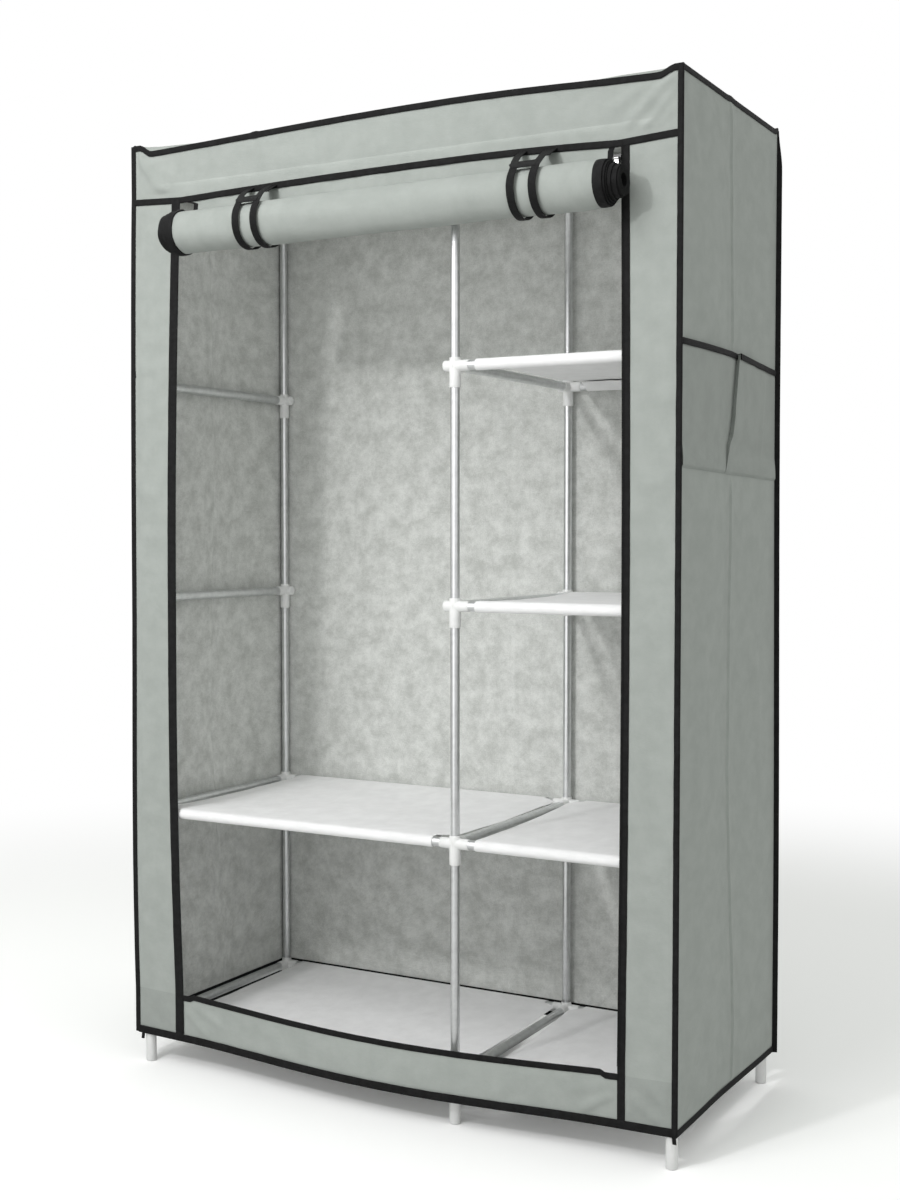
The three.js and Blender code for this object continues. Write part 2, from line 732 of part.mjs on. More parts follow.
// One strap: from the header seam over the front of the roll, under it and up behind the door cloth
function strapRings(middleX) {
  const frontY = -halfDepth - tapeOut - strapThickness - rollAxisY;
  const frontZ = headerZ(middleX) - tapeWidth - rollAxisZ;
  const rearY = clothThickness + seamGap - halfDepth - rollAxisY;
  const bendZ = headerZ(middleX) - curtainHang - rollAxisZ;
  const rearZ = headerZ(middleX) + strapRise - rollAxisZ;
  const from = tangentAngle(frontY, frontZ, strapRadius, 1);
  const to = tangentAngle(rearY, bendZ, strapRadius, -1) + 2 * Math.PI;
  const ring = (y, z, angle) => strapSection.map(([across, out]) => new THREE.Vector3(
    middleX + (across * strapWidth) / 2,
    rollAxisY + y + out * strapThickness * Math.cos(angle),
    rollAxisZ + z + out * strapThickness * Math.sin(angle),
  ));
  const onRoll = (angle) => ring(strapRadius * Math.cos(angle), strapRadius * Math.sin(angle), angle);
  const round = evenly(from, to, strapSteps).map(onRoll);
  return [ring(frontY, frontZ, from), ...round, ring(rearY, bendZ, to), ring(rearY, rearZ, 2 * Math.PI)];
}

// The short tape that joins the two straps of a pair, high on the front of the roll
function crossTape(middleX) {
  const start = Math.PI / 2 + crossTapeWidth / strapRadius;
  const ring = (angle) => strapSection.map(([across, out]) => {
    const reach = strapRadius + out * strapThickness;
    const x = middleX + (across * strapPitch) / 2;
    return new THREE.Vector3(x, rollAxisY + reach * Math.cos(angle), rollAxisZ + reach * Math.sin(angle));
  });
  return loft([start, start + crossTapeWidth / strapRadius].map(ring));
}

function strap(middleX) {
  const pair = [-1, 1].map((end) => loft(strapRings(middleX + (end * strapPitch) / 2)));
  return geometryOf(joined([...pair, crossTape(middleX)].map(solidOf)));
}

// Zip slider: two plates over the free edge of the zip tape, with lugs and a pin for the pull tab
const sliderTop = headerZ(zipLineX) - tapeWidth - sliderDrop;
const tapeFront = -halfDepth - tapeOut;
const tapeRear = -halfDepth - seamGap;
const frontPlateY = tapeFront - seamGap - sliderPlate;
const eyeBore = pinDiameter / 2 + pinClearance;
const eyeRadius = eyeBore + tabEyeWall;
const pivotY = frontPlateY - eyeRadius - seamGap;
const pivotZ = sliderTop - sliderHeight / 2;
const lugEndY = pivotY - pinDiameter / 2 - lugLip;

function sliderOutline(from, to) {
  const nose = sliderTop - sliderHeight * sliderNoseShare;
  const low = sliderTop - sliderHeight;
  const taper = (to - from) * noseTaperShare;
  const points = [[from, sliderTop], [from, nose], [from + taper, low],
    [to - taper, low], [to, nose], [to, sliderTop]];
  return new THREE.Shape(points.map(([x, z]) => new THREE.Vector2(x, z)));
}

// An outline in X and Z given a thickness from one Y to another
function plateBetween(shape, fromY, toY) {
  const settings = { depth: toY - fromY, bevelEnabled: false, curveSegments: roundSides / 2 };
  const geometry = new THREE.ExtrudeGeometry(shape, settings);
  return geometry.rotateX(Math.PI / 2).translate(0, toY, 0);
}

// A round bar along the axis that the pull tab turns on
function pivotBar(radius, reach) {
  return aimed(roundBar(radius, -reach, reach, roundSides), [1, 0]).translate(zipLineX, pivotY, pivotZ);
}

function zipSlider() {
  const outline = sliderOutline(zipLineX - sliderWidth / 2, zipLineX + sliderWidth / 2);
  const bridgeEnd = zipLineX - seamGap;
  const rearPlate = tapeRear + seamGap;
  const bridge = block([zipLineX - sliderWidth / 2, frontPlateY, sliderTop - sliderHeight * sliderNoseShare],
    [bridgeEnd, rearPlate + sliderPlate, sliderTop]);
  const lugs = [-1, 1].map((end) => {
    const inner = zipLineX + end * (tabWidth / 2 + seamGap);
    const outer = inner + end * lugWidth;
    return solidOf(block([Math.min(inner, outer), lugEndY, pivotZ - eyeRadius],
      [Math.max(inner, outer), frontPlateY + sliderPlate / 2, pivotZ + eyeRadius]));
  });
  const pin = pivotBar(pinDiameter / 2, tabWidth / 2 + seamGap + lugWidth / 2);
  return geometryOf(joined([
    solidOf(plateBetween(outline, frontPlateY, frontPlateY + sliderPlate)),
    solidOf(plateBetween(outline, rearPlate, rearPlate + sliderPlate)),
    solidOf(bridge), ...lugs, solidOf(pin),
  ]));
}

// Pull tab: a blade with a grip hole, hanging from an eye round the slider's pin
function pullTab() {
  const blade = new THREE.Shape();
  const low = pivotZ - tabLength + tabWidth / 2;
  blade.moveTo(zipLineX - tabWidth / 2, pivotZ - eyeBore);
  blade.lineTo(zipLineX - tabWidth / 2, low);
  blade.absarc(zipLineX, low, tabWidth / 2, Math.PI, Math.PI * 2, false);
  blade.lineTo(zipLineX + tabWidth / 2, pivotZ - eyeBore);
  blade.holes.push(new THREE.Path().absarc(zipLineX, low, tabHoleDiameter / 2, 0, Math.PI * 2, true));
  const plate = plateBetween(blade, pivotY - tabThickness / 2, pivotY + tabThickness / 2);
  const body = joined([plate, pivotBar(eyeRadius, tabWidth / 2)].map(solidOf));
  return geometryOf(body.subtract(solidOf(pivotBar(eyeBore, tabWidth))));
}

// Put the frame together
Object.keys(columns).forEach((columnName) => {
  Object.keys(rows).forEach((rowName) => {
    addPiece(`post_${rowName}_${columnName}`, post(columnName, rowName), whitePlastic);
  });
});
Object.entries(bays).forEach(([bayName, bay]) => {
  const from = columns[bay.from];
  const to = columns[bay.to];
  bay.tubeLevels.forEach((level) => {
    Object.entries(rows).forEach(([rowName, y]) => {
      const name = `${rowName}_tube_${bayName}_level_${level + 1}`;
      const piece = addPiece(name, aimed(tube(to - from), [1, 0]), steel);
      piece.position.set(from, y, levels[level]);
    });
  });
  bay.shelfLevels.forEach((level) => {
    const piece = addPiece(`shelf_${bayName}_level_${level + 1}`, shelf(from, to), shelfFabric);
    piece.position.z = levels[level];
  });
});
Object.entries(columns).forEach(([columnName, x]) => {
  levels.forEach((z, level) => {
    const holdsRail = z === topLevel && columnName !== 'right';
    const towards = columnName === 'left' ? 1 : -1;
    const geometry = holdsRail ? teeTube(2 * postY, towards) : aimed(tube(2 * postY), [0, 1]);
    const piece = addPiece(`depth_tube_${columnName}_level_${level + 1}`, geometry, steel);
    piece.position.set(x, -postY, z);
  });
});
const rail = addPiece('hanging_rail', aimed(tube(centrePostX + postX), [1, 0]), steel);
rail.position.set(-postX, 0, topLevel);

// Put the cover and the door on it
addPiece('cover_top', coverTopPanel(), coverFabric);
addPiece('cover_front', coverFrontPanel(), coverFabric);
addPiece('cover_back', coverBackPanel(), coverFabric);
addPiece('cover_side_left', coverSidePanel(-1), coverFabric);
addPiece('cover_side_right', coverSidePanel(1), coverFabric);
addPiece('pocket_left', pocket(-1), coverFabric);
addPiece('pocket_right', pocket(1), coverFabric);
addPiece('cover_binding', coverBinding(), blackTape);
addPiece('door_roll', doorRoll(), coverFabric);
addPiece('door_curtain', doorCurtain(), coverFabric);
addPiece('strap_left', strap(strapLeftX), blackTape);
addPiece('strap_right', strap(strapRightX), blackTape);
addPiece('zip_slider_right', zipSlider(), zipMetal);
addPiece('pull_tab_right', pullTab(), zipMetal);
addPiece('zip_slider_left', geometryOf(mirroredX(solidOf(zipSlider()))), zipMetal);
addPiece('pull_tab_left', geometryOf(mirroredX(solidOf(pullTab()))), zipMetal);

// Stand the origin on the floor under the middle of the whole part
const reach = new THREE.Box3().setFromObject(wardrobe);
wardrobe.position.y = -(reach.min.y + reach.max.y) / 2;

console.log('door roll: least gap between turns', leastRollGap().toFixed(2), 'mm');

export default wardrobe;
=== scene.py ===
import math

import bmesh
import bpy
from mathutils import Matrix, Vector, noise


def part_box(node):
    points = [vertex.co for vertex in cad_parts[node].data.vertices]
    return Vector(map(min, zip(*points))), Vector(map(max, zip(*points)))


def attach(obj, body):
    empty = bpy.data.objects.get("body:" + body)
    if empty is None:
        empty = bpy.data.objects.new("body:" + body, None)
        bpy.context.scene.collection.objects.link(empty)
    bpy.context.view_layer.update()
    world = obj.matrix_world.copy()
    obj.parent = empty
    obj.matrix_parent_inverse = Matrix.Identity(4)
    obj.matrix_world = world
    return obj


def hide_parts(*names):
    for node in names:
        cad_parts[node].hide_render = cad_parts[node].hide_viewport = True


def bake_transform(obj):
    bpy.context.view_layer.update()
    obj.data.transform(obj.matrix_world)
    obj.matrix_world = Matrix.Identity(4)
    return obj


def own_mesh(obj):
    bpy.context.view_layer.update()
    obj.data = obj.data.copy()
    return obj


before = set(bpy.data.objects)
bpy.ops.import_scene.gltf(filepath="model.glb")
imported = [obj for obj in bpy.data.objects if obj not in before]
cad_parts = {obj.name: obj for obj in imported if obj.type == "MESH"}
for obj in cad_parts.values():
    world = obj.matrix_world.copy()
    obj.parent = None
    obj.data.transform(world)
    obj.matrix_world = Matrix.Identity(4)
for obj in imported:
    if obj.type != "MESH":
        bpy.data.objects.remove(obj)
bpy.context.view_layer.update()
scene = bpy.context.scene
print("frame loaded:", len(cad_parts), "nodes")

# View: a fixed camera, a pale floor and soft studio light
view = {
    "place": (1.4452, -2.5396, 1.028),
    "tilt": 87.51,
    "turn": 29.18,
    "lens": 47.25,
}


def addCamera():
    data = bpy.data.cameras.new("camera")
    data.lens = view["lens"]
    data.sensor_width = 36
    camera = bpy.data.objects.new("camera", data)
    camera.location = view["place"]
    camera.rotation_euler = (math.radians(view["tilt"]), 0, math.radians(view["turn"]))
    scene.collection.objects.link(camera)
    scene.camera = camera


addCamera()


# Places that come from the frame
def middleOf(node, axis):
    low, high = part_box(node)
    return (low[axis] + high[axis]) / 2


topLow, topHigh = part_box("cover_top")
halfWidth = topHigh.x
frontY = topLow.y
backY = topHigh.y
builtTop = topHigh.z
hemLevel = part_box("cover_side_right")[0].z
columnX = {name: middleOf(f"depth_tube_{name}_level_2", 0) for name in ("left", "centre", "right")}
rowY = {name: middleOf(f"{name}_tube_right_level_3", 1) for name in ("front", "rear")}
levels = [middleOf(f"front_tube_right_level_{level}", 2) for level in range(1, 6)]
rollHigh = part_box("door_roll")[1]

# Cover cloth: how it is cut and how it hangs
cover = {
    "cloth": 0.0009,
    "lift": 0.008,
    "earFlat": 0.012,
    "earSpread": 0.04,
    "archLeft": (0.022, 0.0165),
    "archRight": (0.019, 0.0105),
    "ridge": 0.015,
    "ridgeReach": 0.2,
    "topSag": 0.006,
    "headerHeight": 0.099,
    "headerArch": 0.008,
    "headerEnds": 0.006,
    "bandHeight": 0.0895,
    "bandSag": 0.0142,
    "bandDip": 0.005,
    "bandSeam": 0.145,
    "foldOver": 0.008,
    "hemSag": 0.0075,
    "billow": 0.028,
    "billowAtTop": 0.6,
    "opening": 0.452,
    "zipLine": 0.441,
    "leftBow": 0.017,
    "rightBow": 0.004,
    "cornerBow": 0.0075,
    "sideSwell": 0.004,
    "swellFade": 0.06,
    "backSwell": 0.004,
    "backSwells": 4,
    "lowLean": 0.0068,
    "rearLean": 0.0055,
    "sideKnob": 0.0035,
    "sideLump": (0.0018, 0.031, 0.012),
    "bowFade": 0.14,
    "underTop": 0.0015,
    "leanFrom": 0.3,
    "pocketTop": (1.3315, 1.3205, 0.04),
    "pocketBottom": (1.1295, 1.1205, -0.2),
    "sideCrease": 0.045,
}
topLevel = builtTop + cover["lift"]
headerLevel = topLevel - cover["headerHeight"]
bandLevel = hemLevel + cover["bandHeight"]


def smooth(value, low=0.0, high=1.0):
    share = min(max((value - low) / (high - low), 0), 1)
    return share * share * (3 - 2 * share)


sideNames = {-1: "left", 1: "right"}


def mix(a, b, share):
    return a + (b - a) * share


def bell(value, width):
    return math.exp(-((value / width) ** 2))


# A pocket's edges run level from the front and then drop to the rear
def pocketLine(edge, y):
    front, rear, bend = cover[edge]
    return mix(front, rear, max((y - bend) / (backY - bend), 0))


def fromCentre(x, line):
    centre = columnX["centre"]
    return (x - centre) / ((-line if x < centre else line) - centre)


# The top arches over the centre posts and is pushed up again along both sides
def topZ(x, y):
    fromSide = halfWidth - abs(x)
    fromEdge = min(y - frontY, backY - y)
    rise, depth = cover["archLeft" if x < columnX["centre"] else "archRight"]
    drop = depth * math.tanh(rise * fromCentre(x, halfWidth) ** 2 / depth)
    drop *= smooth(fromSide, cover["earFlat"], cover["earSpread"])
    along = max(1 - max(fromSide - cover["earFlat"], 0) / cover["ridgeReach"], 0)
    ridge = min(cover["ridge"] * along, drop) * smooth(fromEdge, 0, 0.01)
    ridge *= 1 - smooth(fromEdge, 0.03, 0.09)
    bayFrom, bayTo = ("left", "centre") if x < columnX["centre"] else ("centre", "right")
    across = min(max((x - columnX[bayFrom]) / (columnX[bayTo] - columnX[bayFrom]), 0), 1)
    inward = min(max((y - rowY["front"]) / (rowY["rear"] - rowY["front"]), 0), 1)
    sag = cover["topSag"] * math.sin(math.pi * across) ** 2 * math.sin(math.pi * inward) ** 2
    atSide = 1 - smooth(fromSide, 0, 0.02)
    lump, lumpY, lumpWidth = cover["sideLump"]
    knob = cover["sideKnob"] * smooth(y, backY - 0.02, backY) + lump * bell(y - lumpY, lumpWidth)
    return topLevel - drop + ridge - sag + atSide * knob


def hemZ(x):
    return hemLevel - cover["hemSag"] * (1 - (x / halfWidth) ** 2)


def headerZ(x):
    beyond = max(abs(x) - cover["zipLine"], 0) / (halfWidth - cover["zipLine"])
    arch = cover["headerArch"] * min(fromCentre(x, cover["zipLine"]), 1) ** 2
    return headerLevel - arch + cover["headerEnds"] * beyond


# The bottom band's top sags, and dips at its ends to clear the lowered sliders
def bandTopZ(x):
    sag = cover["bandSag"] * (1 - min(abs(x) / cover["opening"], 1) ** 2)
    atEnds = smooth(abs(x), cover["zipLine"] - 0.024, cover["zipLine"] - 0.013)
    return bandLevel - sag - cover["bandDip"] * atEnds


def billow(x, up):
    across = max(1 - (x / (cover["zipLine"] - 0.005)) ** 2, 0) ** 2
    return cover["billow"] * across * (1 - (1 - cover["billowAtTop"]) * up)


def bowAt(z):
    return math.sin(math.pi * min(max((z - bandLevel) / (headerLevel - bandLevel), 0), 1))


# Below the middle the left front edge leans out, and so does the right rear one
def leanLeft(z):
    return cover["lowLean"] * (1 - smooth(z, 0.3, 0.95))


def leanRear(z):
    return cover["rearLean"] * (1 - smooth(z, 0.3, 1.3))


def zipBow(side, z):
    if side < 0:
        return cover["leftBow"] * bowAt(z) + 0.85 * leanLeft(z)
    return cover["rightBow"] * bowAt(z)


# The left edge stands out a little at mid height
def cornerBow(side, z):
    return cover["cornerBow"] * bowAt(z) ** 0.7 + leanLeft(z) if side < 0 else 0.0


# How far a side stands out, at a place along its depth
def sideBow(side, y, z):
    if side < 0:
        return cornerBow(side, z) * (1 - smooth(y - frontY, 0, cover["bowFade"]))
    return leanRear(z) * smooth((y - frontY) / (backY - frontY), cover["leanFrom"], 1)


# The hem and the bottom band follow the leaning edge
def leant(x, z):
    return x + leanLeft(z) * min(x / halfWidth, 0)


def sideSwell(y, z):
    crease = cover["sideCrease"]
    low, high = (frontY, crease) if y < crease else (crease, backY)
    lobe = math.sin(math.pi * (y - low) / (high - low)) ** 2
    fromPocket = max(z - pocketLine("pocketTop", y), pocketLine("pocketBottom", y) - z, 0)
    fromEnd = min(z - hemLevel, topLevel - z)
    fadeOut = cover["swellFade"]
    return cover["sideSwell"] * lobe * smooth(fromPocket, 0, fadeOut) * smooth(fromEnd, 0, fadeOut)


def backSwell(x, z):
    fromEnd = min(z - hemLevel, topLevel - z)
    wave = math.sin(math.pi * cover["backSwells"] * (x + halfWidth) / (2 * halfWidth)) ** 2
    return cover["backSwell"] * wave * smooth(fromEnd, 0, cover["swellFade"])


# Small folds in a cloth: each runs from one point of the panel to another and has a width and a height
def foldHeight(folds, across, up):
    total = 0
    for fromA, fromU, toA, toU, width, height in folds:
        runA, runU = toA - fromA, toU - fromU
        length = math.hypot(runA, runU)
        share = ((across - fromA) * runA + (up - fromU) * runU) / (length * length)
        held = min(max(share, 0), 1)
        away = math.hypot(across - fromA - held * runA, up - fromU - held * runU)
        ends = smooth(min(held, 1 - held), -0.02, 0.3)
        total += height * ends * bell(away, width)
    return total


def ripple(a, b, c=0.0):
    return noise.noise(Vector((a, b, c)))


# Meshes are gathered face by face, each with its flat place on the cloth in metres
class Shape:
    def __init__(self):
        self.points = []
        self.faces = []
        self.flat = []
        self.slots = []

    def grid(self, columns, rows, place, size, closed=False, slot=None):
        first = len(self.points)
        across = columns if closed else columns + 1
        for row in range(rows + 1):
            for column in range(across):
                self.points.append(tuple(place(column / columns, row / rows)))
        for row in range(rows):
            for column in range(columns):
                corners = [(column, row), (column + 1, row), (column + 1, row + 1), (column, row + 1)]
                self.faces.append([first + r * across + c % across for c, r in corners])
                self.flat += [(c / columns * size[0], r / rows * size[1]) for c, r in corners]
                self.slots.append(slot((column + 0.5) / columns, (row + 0.5) / rows) if slot else 0)

    def turned(self, profile, place, sides=32):
        steps = [0.0]
        for a, b in zip(profile, profile[1:]):
            steps.append(steps[-1] + math.hypot(b[0] - a[0], b[1] - a[1]))

        def point(u, v):
            radius, height = profile[round(v * (len(profile) - 1))]
            return place(radius, 2 * math.pi * u, height)

        around = 2 * math.pi * max(radius for radius, height in profile)
        self.grid(sides, len(profile) - 1, point, (around, steps[-1]), closed=True)

    def piece(self, name, materials, body="wardrobe", nodes=(), slot=None, thick=0.0, weld=False, sharp=40,
              flip=False):
        mesh = bpy.data.meshes.new(name)
        mesh.from_pydata(self.points, [], self.faces)
        layer = mesh.uv_layers.new(name="flat")
        for loop, place in zip(layer.data, self.flat):
            loop.uv = place
        for material in materials:
            mesh.materials.append(material)
        mesh.polygons.foreach_set("material_index", self.slots)
        if weld or flip:
            work = bmesh.new()
            work.from_mesh(mesh)
            if weld:
                bmesh.ops.remove_doubles(work, verts=work.verts, dist=1e-6)
                bmesh.ops.dissolve_degenerate(work, edges=work.edges, dist=1e-7)
            if flip:
                bmesh.ops.reverse_faces(work, faces=work.faces)
            work.to_mesh(mesh)
            work.free()
        made = bpy.data.objects.new(name, mesh)
        scene.collection.objects.link(made)
        if thick:
            solid = made.modifiers.new("thickness", "SOLIDIFY")
            solid.thickness = thick
            solid.offset = -1
            solid.use_even_offset = False
            solid.material_offset = len(materials) // 2
            applyModifiers(made)
        made.data.shade_smooth()
        made.data.set_sharp_from_angle(angle=math.radians(sharp))
        if nodes:
            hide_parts(*nodes)
        if body:
            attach(made, body)
        return made


def applyModifiers(made):
    bpy.context.view_layer.update()
    final = bpy.data.meshes.new_from_object(made.evaluated_get(bpy.context.evaluated_depsgraph_get()))
    made.modifiers.clear()
    made.data = final


# Finishes
finish = {
    "coverColour": (0.388, 0.414, 0.392),
    "coverDark": (0.35, 0.375, 0.354),
    "liningColour": (0.73, 0.742, 0.72),
    "liningDark": (0.495, 0.507, 0.485),
    "tapeColour": (0.006, 0.006, 0.006),
    "tapeWorn": (0.014, 0.014, 0.0145),
    "shelfColour": (0.94, 0.94, 0.945),
    "steelColour": (0.74, 0.75, 0.755),
    "plasticColour": (0.86, 0.865, 0.86),
    "nickelColour": (0.6, 0.6, 0.59),
    "lacquerColour": (0.012, 0.012, 0.012),
}


def newMaterial(name, roughness, metallic=0.0, sheen=0.0, specular=0.5):
    material = bpy.data.materials.new(name)
    material.use_nodes = True
    shader = material.node_tree.nodes["Principled BSDF"]
    values = {"Roughness": roughness, "Metallic": metallic, "Sheen Weight": sheen,
              "Specular IOR Level": specular}
    for socket, value in values.items():
        shader.inputs[socket].default_value = value
    return material, shader


def link(material, source, target):
    material.node_tree.links.new(source, target)


def shaded(colour, share):
    return tuple(share * part for part in colour)


def flatPlace(material, stretch=(1, 1, 1), source="UV"):
    nodes = material.node_tree.nodes
    place = nodes.new("ShaderNodeTexCoord")
    scale = nodes.new("ShaderNodeMapping")
    scale.inputs["Scale"].default_value = stretch
    link(material, place.outputs[source], scale.inputs["Vector"])
    return scale.outputs["Vector"]


def patternNode(material, kind, place, values):
    node = material.node_tree.nodes.new(kind)
    for socket, value in values.items():
        node.inputs[socket].default_value = value
    link(material, place, node.inputs["Vector"])
    return node


def noiseNode(material, place, scale, detail, rough):
    values = {"Scale": scale, "Detail": detail, "Roughness": rough}
    return patternNode(material, "ShaderNodeTexNoise", place, values).outputs["Fac"]


def colourBetween(material, shader, share, dark, light, low=0.3, high=0.7):
    ramp = material.node_tree.nodes.new("ShaderNodeValToRGB")
    ramp.color_ramp.elements[0].position = low
    ramp.color_ramp.elements[0].color = (*dark, 1)
    ramp.color_ramp.elements[1].position = high
    ramp.color_ramp.elements[1].color = (*light, 1)
    link(material, share, ramp.inputs["Fac"])
    link(material, ramp.outputs["Color"], shader.inputs["Base Color"])


def bumpFrom(material, height, depth, strength=1.0, after=None):
    bump = material.node_tree.nodes.new("ShaderNodeBump")
    bump.inputs["Distance"].default_value = depth
    bump.inputs["Strength"].default_value = strength
    link(material, height, bump.inputs["Height"])
    if after:
        link(material, after, bump.inputs["Normal"])
    return bump.outputs["Normal"]


def mathNode(material, operation, first, second):
    node = material.node_tree.nodes.new("ShaderNodeMath")
    node.operation = operation
    for socket, value in zip(node.inputs, (first, second)):
        if isinstance(value, (int, float)):
            socket.default_value = value
        else:
            link(material, value, socket)
    return node.outputs["Value"]


def wavesNode(material, place, scale, direction):
    node = patternNode(material, "ShaderNodeTexWave", place, {"Scale": scale, "Distortion": 0})
    node.bands_direction = direction
    return node.outputs["Fac"]


def cellsNode(material, place, scale):
    return patternNode(material, "ShaderNodeTexVoronoi", place, {"Scale": scale}).outputs["Distance"]


# Non-woven cloth: pressed dimples in a small pattern over soft blotches of fibre
def nonWoven(name, light, dark, blotch, pressed, grain, mottle=0.62):
    material, shader = newMaterial(name, 0.9, sheen=0.05, specular=0.2)
    place = flatPlace(material)
    blotches = noiseNode(material, place, blotch, 9, mottle)
    fibres = noiseNode(material, place, grain, 3, 0.7)
    share = mathNode(material, "ADD", mathNode(material, "MULTIPLY", blotches, 0.7),
                     mathNode(material, "MULTIPLY", fibres, 0.3))
    colourBetween(material, shader, share, dark, light, 0.4, 0.6)
    dimples = bumpFrom(material, cellsNode(material, place, 640), pressed, 0.7)
    soft = bumpFrom(material, blotches, 0.004, 0.25, dimples)
    link(material, bumpFrom(material, fibres, 0.0003, 0.5, soft), shader.inputs["Normal"])
    return material


def wovenTape():
    material, shader = newMaterial("black_tape", 0.66, specular=0.14)
    place = flatPlace(material)
    across = wavesNode(material, place, 420, "X")
    along = wavesNode(material, place, 300, "Y")
    worn = noiseNode(material, place, 90, 4, 0.6)
    colourBetween(material, shader, worn, finish["tapeColour"], finish["tapeWorn"], 0.35, 0.75)
    weave = bumpFrom(material, mathNode(material, "MAXIMUM", across, along), 0.00025, 0.6)
    link(material, bumpFrom(material, worn, 0.0015, 0.3, weave), shader.inputs["Normal"])
    return material


def brightSteel(name, colour, roughness, source="UV"):
    material, shader = newMaterial(name, roughness, metallic=1.0)
    place = flatPlace(material, (1, 0.05, 1), source)
    drawn = noiseNode(material, place, 900, 3, 0.6)
    spots = noiseNode(material, flatPlace(material, source=source), 60, 4, 0.6)
    colourBetween(material, shader, spots, shaded(colour, 0.86), colour, 0.3, 0.6)
    roughest = mathNode(material, "ADD", mathNode(material, "MULTIPLY", drawn, 0.14), roughness - 0.07)
    link(material, roughest, shader.inputs["Roughness"])
    link(material, bumpFrom(material, drawn, 0.00004, 0.4), shader.inputs["Normal"])
    return material


def mouldedPlastic():
    material, shader = newMaterial("white_plastic", 0.42)
    place = flatPlace(material, source="Object")
    cloudy = noiseNode(material, place, 70, 3, 0.5)
    light = finish["plasticColour"]
    colourBetween(material, shader, cloudy, shaded(light, 0.94), light)
    grain = noiseNode(material, place, 600, 2, 0.5)
    link(material, bumpFrom(material, grain, 0.00008, 0.5), shader.inputs["Normal"])
    return material


def blackLacquer():
    material, shader = newMaterial("zip_lacquer", 0.4)
    place = flatPlace(material, source="Object")
    rubbed = noiseNode(material, place, 500, 3, 0.6)
    dark = finish["lacquerColour"]
    colourBetween(material, shader, rubbed, dark, shaded(dark, 2.5), 0.4, 0.8)
    link(material, bumpFrom(material, rubbed, 0.00005, 0.5), shader.inputs["Normal"])
    return material


coverCloth = nonWoven("cover_cloth", finish["coverColour"], finish["coverDark"], 26, 0.00018, 900)
# A copy of the cover cloth darkened to 0.9 as painted shade: the side bands take it below their seam, and
# the pockets take it on their outer face
shadeDarkenedCloth = nonWoven("cover_cloth_painted_shade", shaded(finish["coverColour"], 0.9),
                        shaded(finish["coverDark"], 0.9), 26, 0.00018, 900)
liningCloth = nonWoven("cover_lining", finish["liningColour"], finish["liningDark"], 26, 0.00012, 420, 0.75)
shelfCloth = nonWoven("shelf_cloth", finish["shelfColour"], shaded(finish["shelfColour"], 0.93),
                      30, 0.00018, 900)
blackTape = wovenTape()
steel = brightSteel("tube_steel", finish["steelColour"], 0.3)
whitePlastic = mouldedPlastic()
nickel = brightSteel("zip_nickel", finish["nickelColour"], 0.34, "Object")
lacquer = blackLacquer()
print("finishes made")

# Frame: steel tubes and white plastic connectors
connector = {
    "radius": 0.01,
    "armRadius": 0.0095,
    "armReach": 0.028,
    "stubReach": 0.02,
    "leg": 0.037,
    "neck": 0.014,
    "lip": 0.0009,
    "fillet": 0.0014,
    "teeHalf": 0.015,
    "overlap": 0.004,
    "tubeWall": 0.0006,
}
bays = {
    "left": ("left", "centre", (1, 2, 5)),
    "right": ("centre", "right", (1, 2, 3, 4, 5)),
}
shelves = {"left": (1, 2), "right": (1, 2, 3, 4)}
low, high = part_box("hanging_rail")
tubeRadius = (high.z - low.z) / 2
railY = (low.y + high.y) / 2
railZ = (low.z + high.z) / 2


def uprightPlace(x, y):
    def place(radius, angle, height):
        return (x + radius * math.cos(angle), y + radius * math.sin(angle), height)

    return place


def levelPlace(x, y, z, aim):
    side = (-aim[1], aim[0])

    def place(radius, angle, along):
        lateral = radius * math.cos(angle)
        return (x + aim[0] * along + side[0] * lateral, y + aim[1] * along + side[1] * lateral,
                z + radius * math.sin(angle))

    return place


def roundEnds(radius, low, high, lip):
    return [(0, low), (radius - lip, low), (radius - 0.3 * lip, low + 0.3 * lip), (radius, low + lip),
            (radius, high - lip), (radius - 0.3 * lip, high - 0.3 * lip), (radius - lip, high), (0, high)]


def addSleeve(shape, x, y, low, high, lip, domed=False):
    profile = roundEnds(connector["radius"], low, high, lip)
    if domed:
        rings = [(0.9998, -0.007), (0.92, -0.0045), (0.7, -0.002), (0.4, -0.0004), (0.0, 0.0)]
        profile = profile[:4] + [(share * connector["radius"], high + down) for share, down in rings]
    shape.turned(profile, uprightPlace(x, y), 28)


# An arm grows out of the round sleeve with a small fillet
def addArm(shape, x, y, z, aim, reach, root=connector["radius"]):
    radius, fillet, lip = connector["armRadius"], connector["fillet"], connector["lip"]
    rows = [(radius + fillet, -0.0004), (radius + 0.35 * fillet, 0.35 * fillet),
            (radius + 0.08 * fillet, fillet), (radius, 1.8 * fillet)]
    rim = [(radius, reach - lip), (radius - 0.3 * lip, reach - 0.3 * lip), (radius - lip, reach), (0, reach)]
    last = len(rows) + len(rim) - 1
    place = levelPlace(x, y, z, aim)

    def point(u, v):
        angle = 2 * math.pi * u
        step = round(v * last)
        if step < len(rows):
            wide, out = rows[step]
            start = math.sqrt(max(root ** 2 - (wide * math.cos(angle)) ** 2, 0))
            return place(wide, angle, start + out)
        wide, along = rim[step - len(rows)]
        return place(wide, angle, along)

    shape.grid(24, last, point, (2 * math.pi * radius, reach), closed=True)


def armsAt(column, row, level):
    arms = [((0, 1 if row == "front" else -1), True)]
    for start, end, withTubes in bays.values():
        if start == column:
            arms.append(((1, 0), level in withTubes))
        if end == column:
            arms.append(((-1, 0), level in withTubes))
    return arms


def plasticPiece(shape, name, node):
    shape.piece(name, [whitePlastic], nodes=(node,), slot="frame_post", weld=True, flip=True)


def tubePiece(shape, name, node, flip):
    shape.piece(name, [steel], nodes=(node,), slot="steel_tube", thick=connector["tubeWall"], flip=flip)


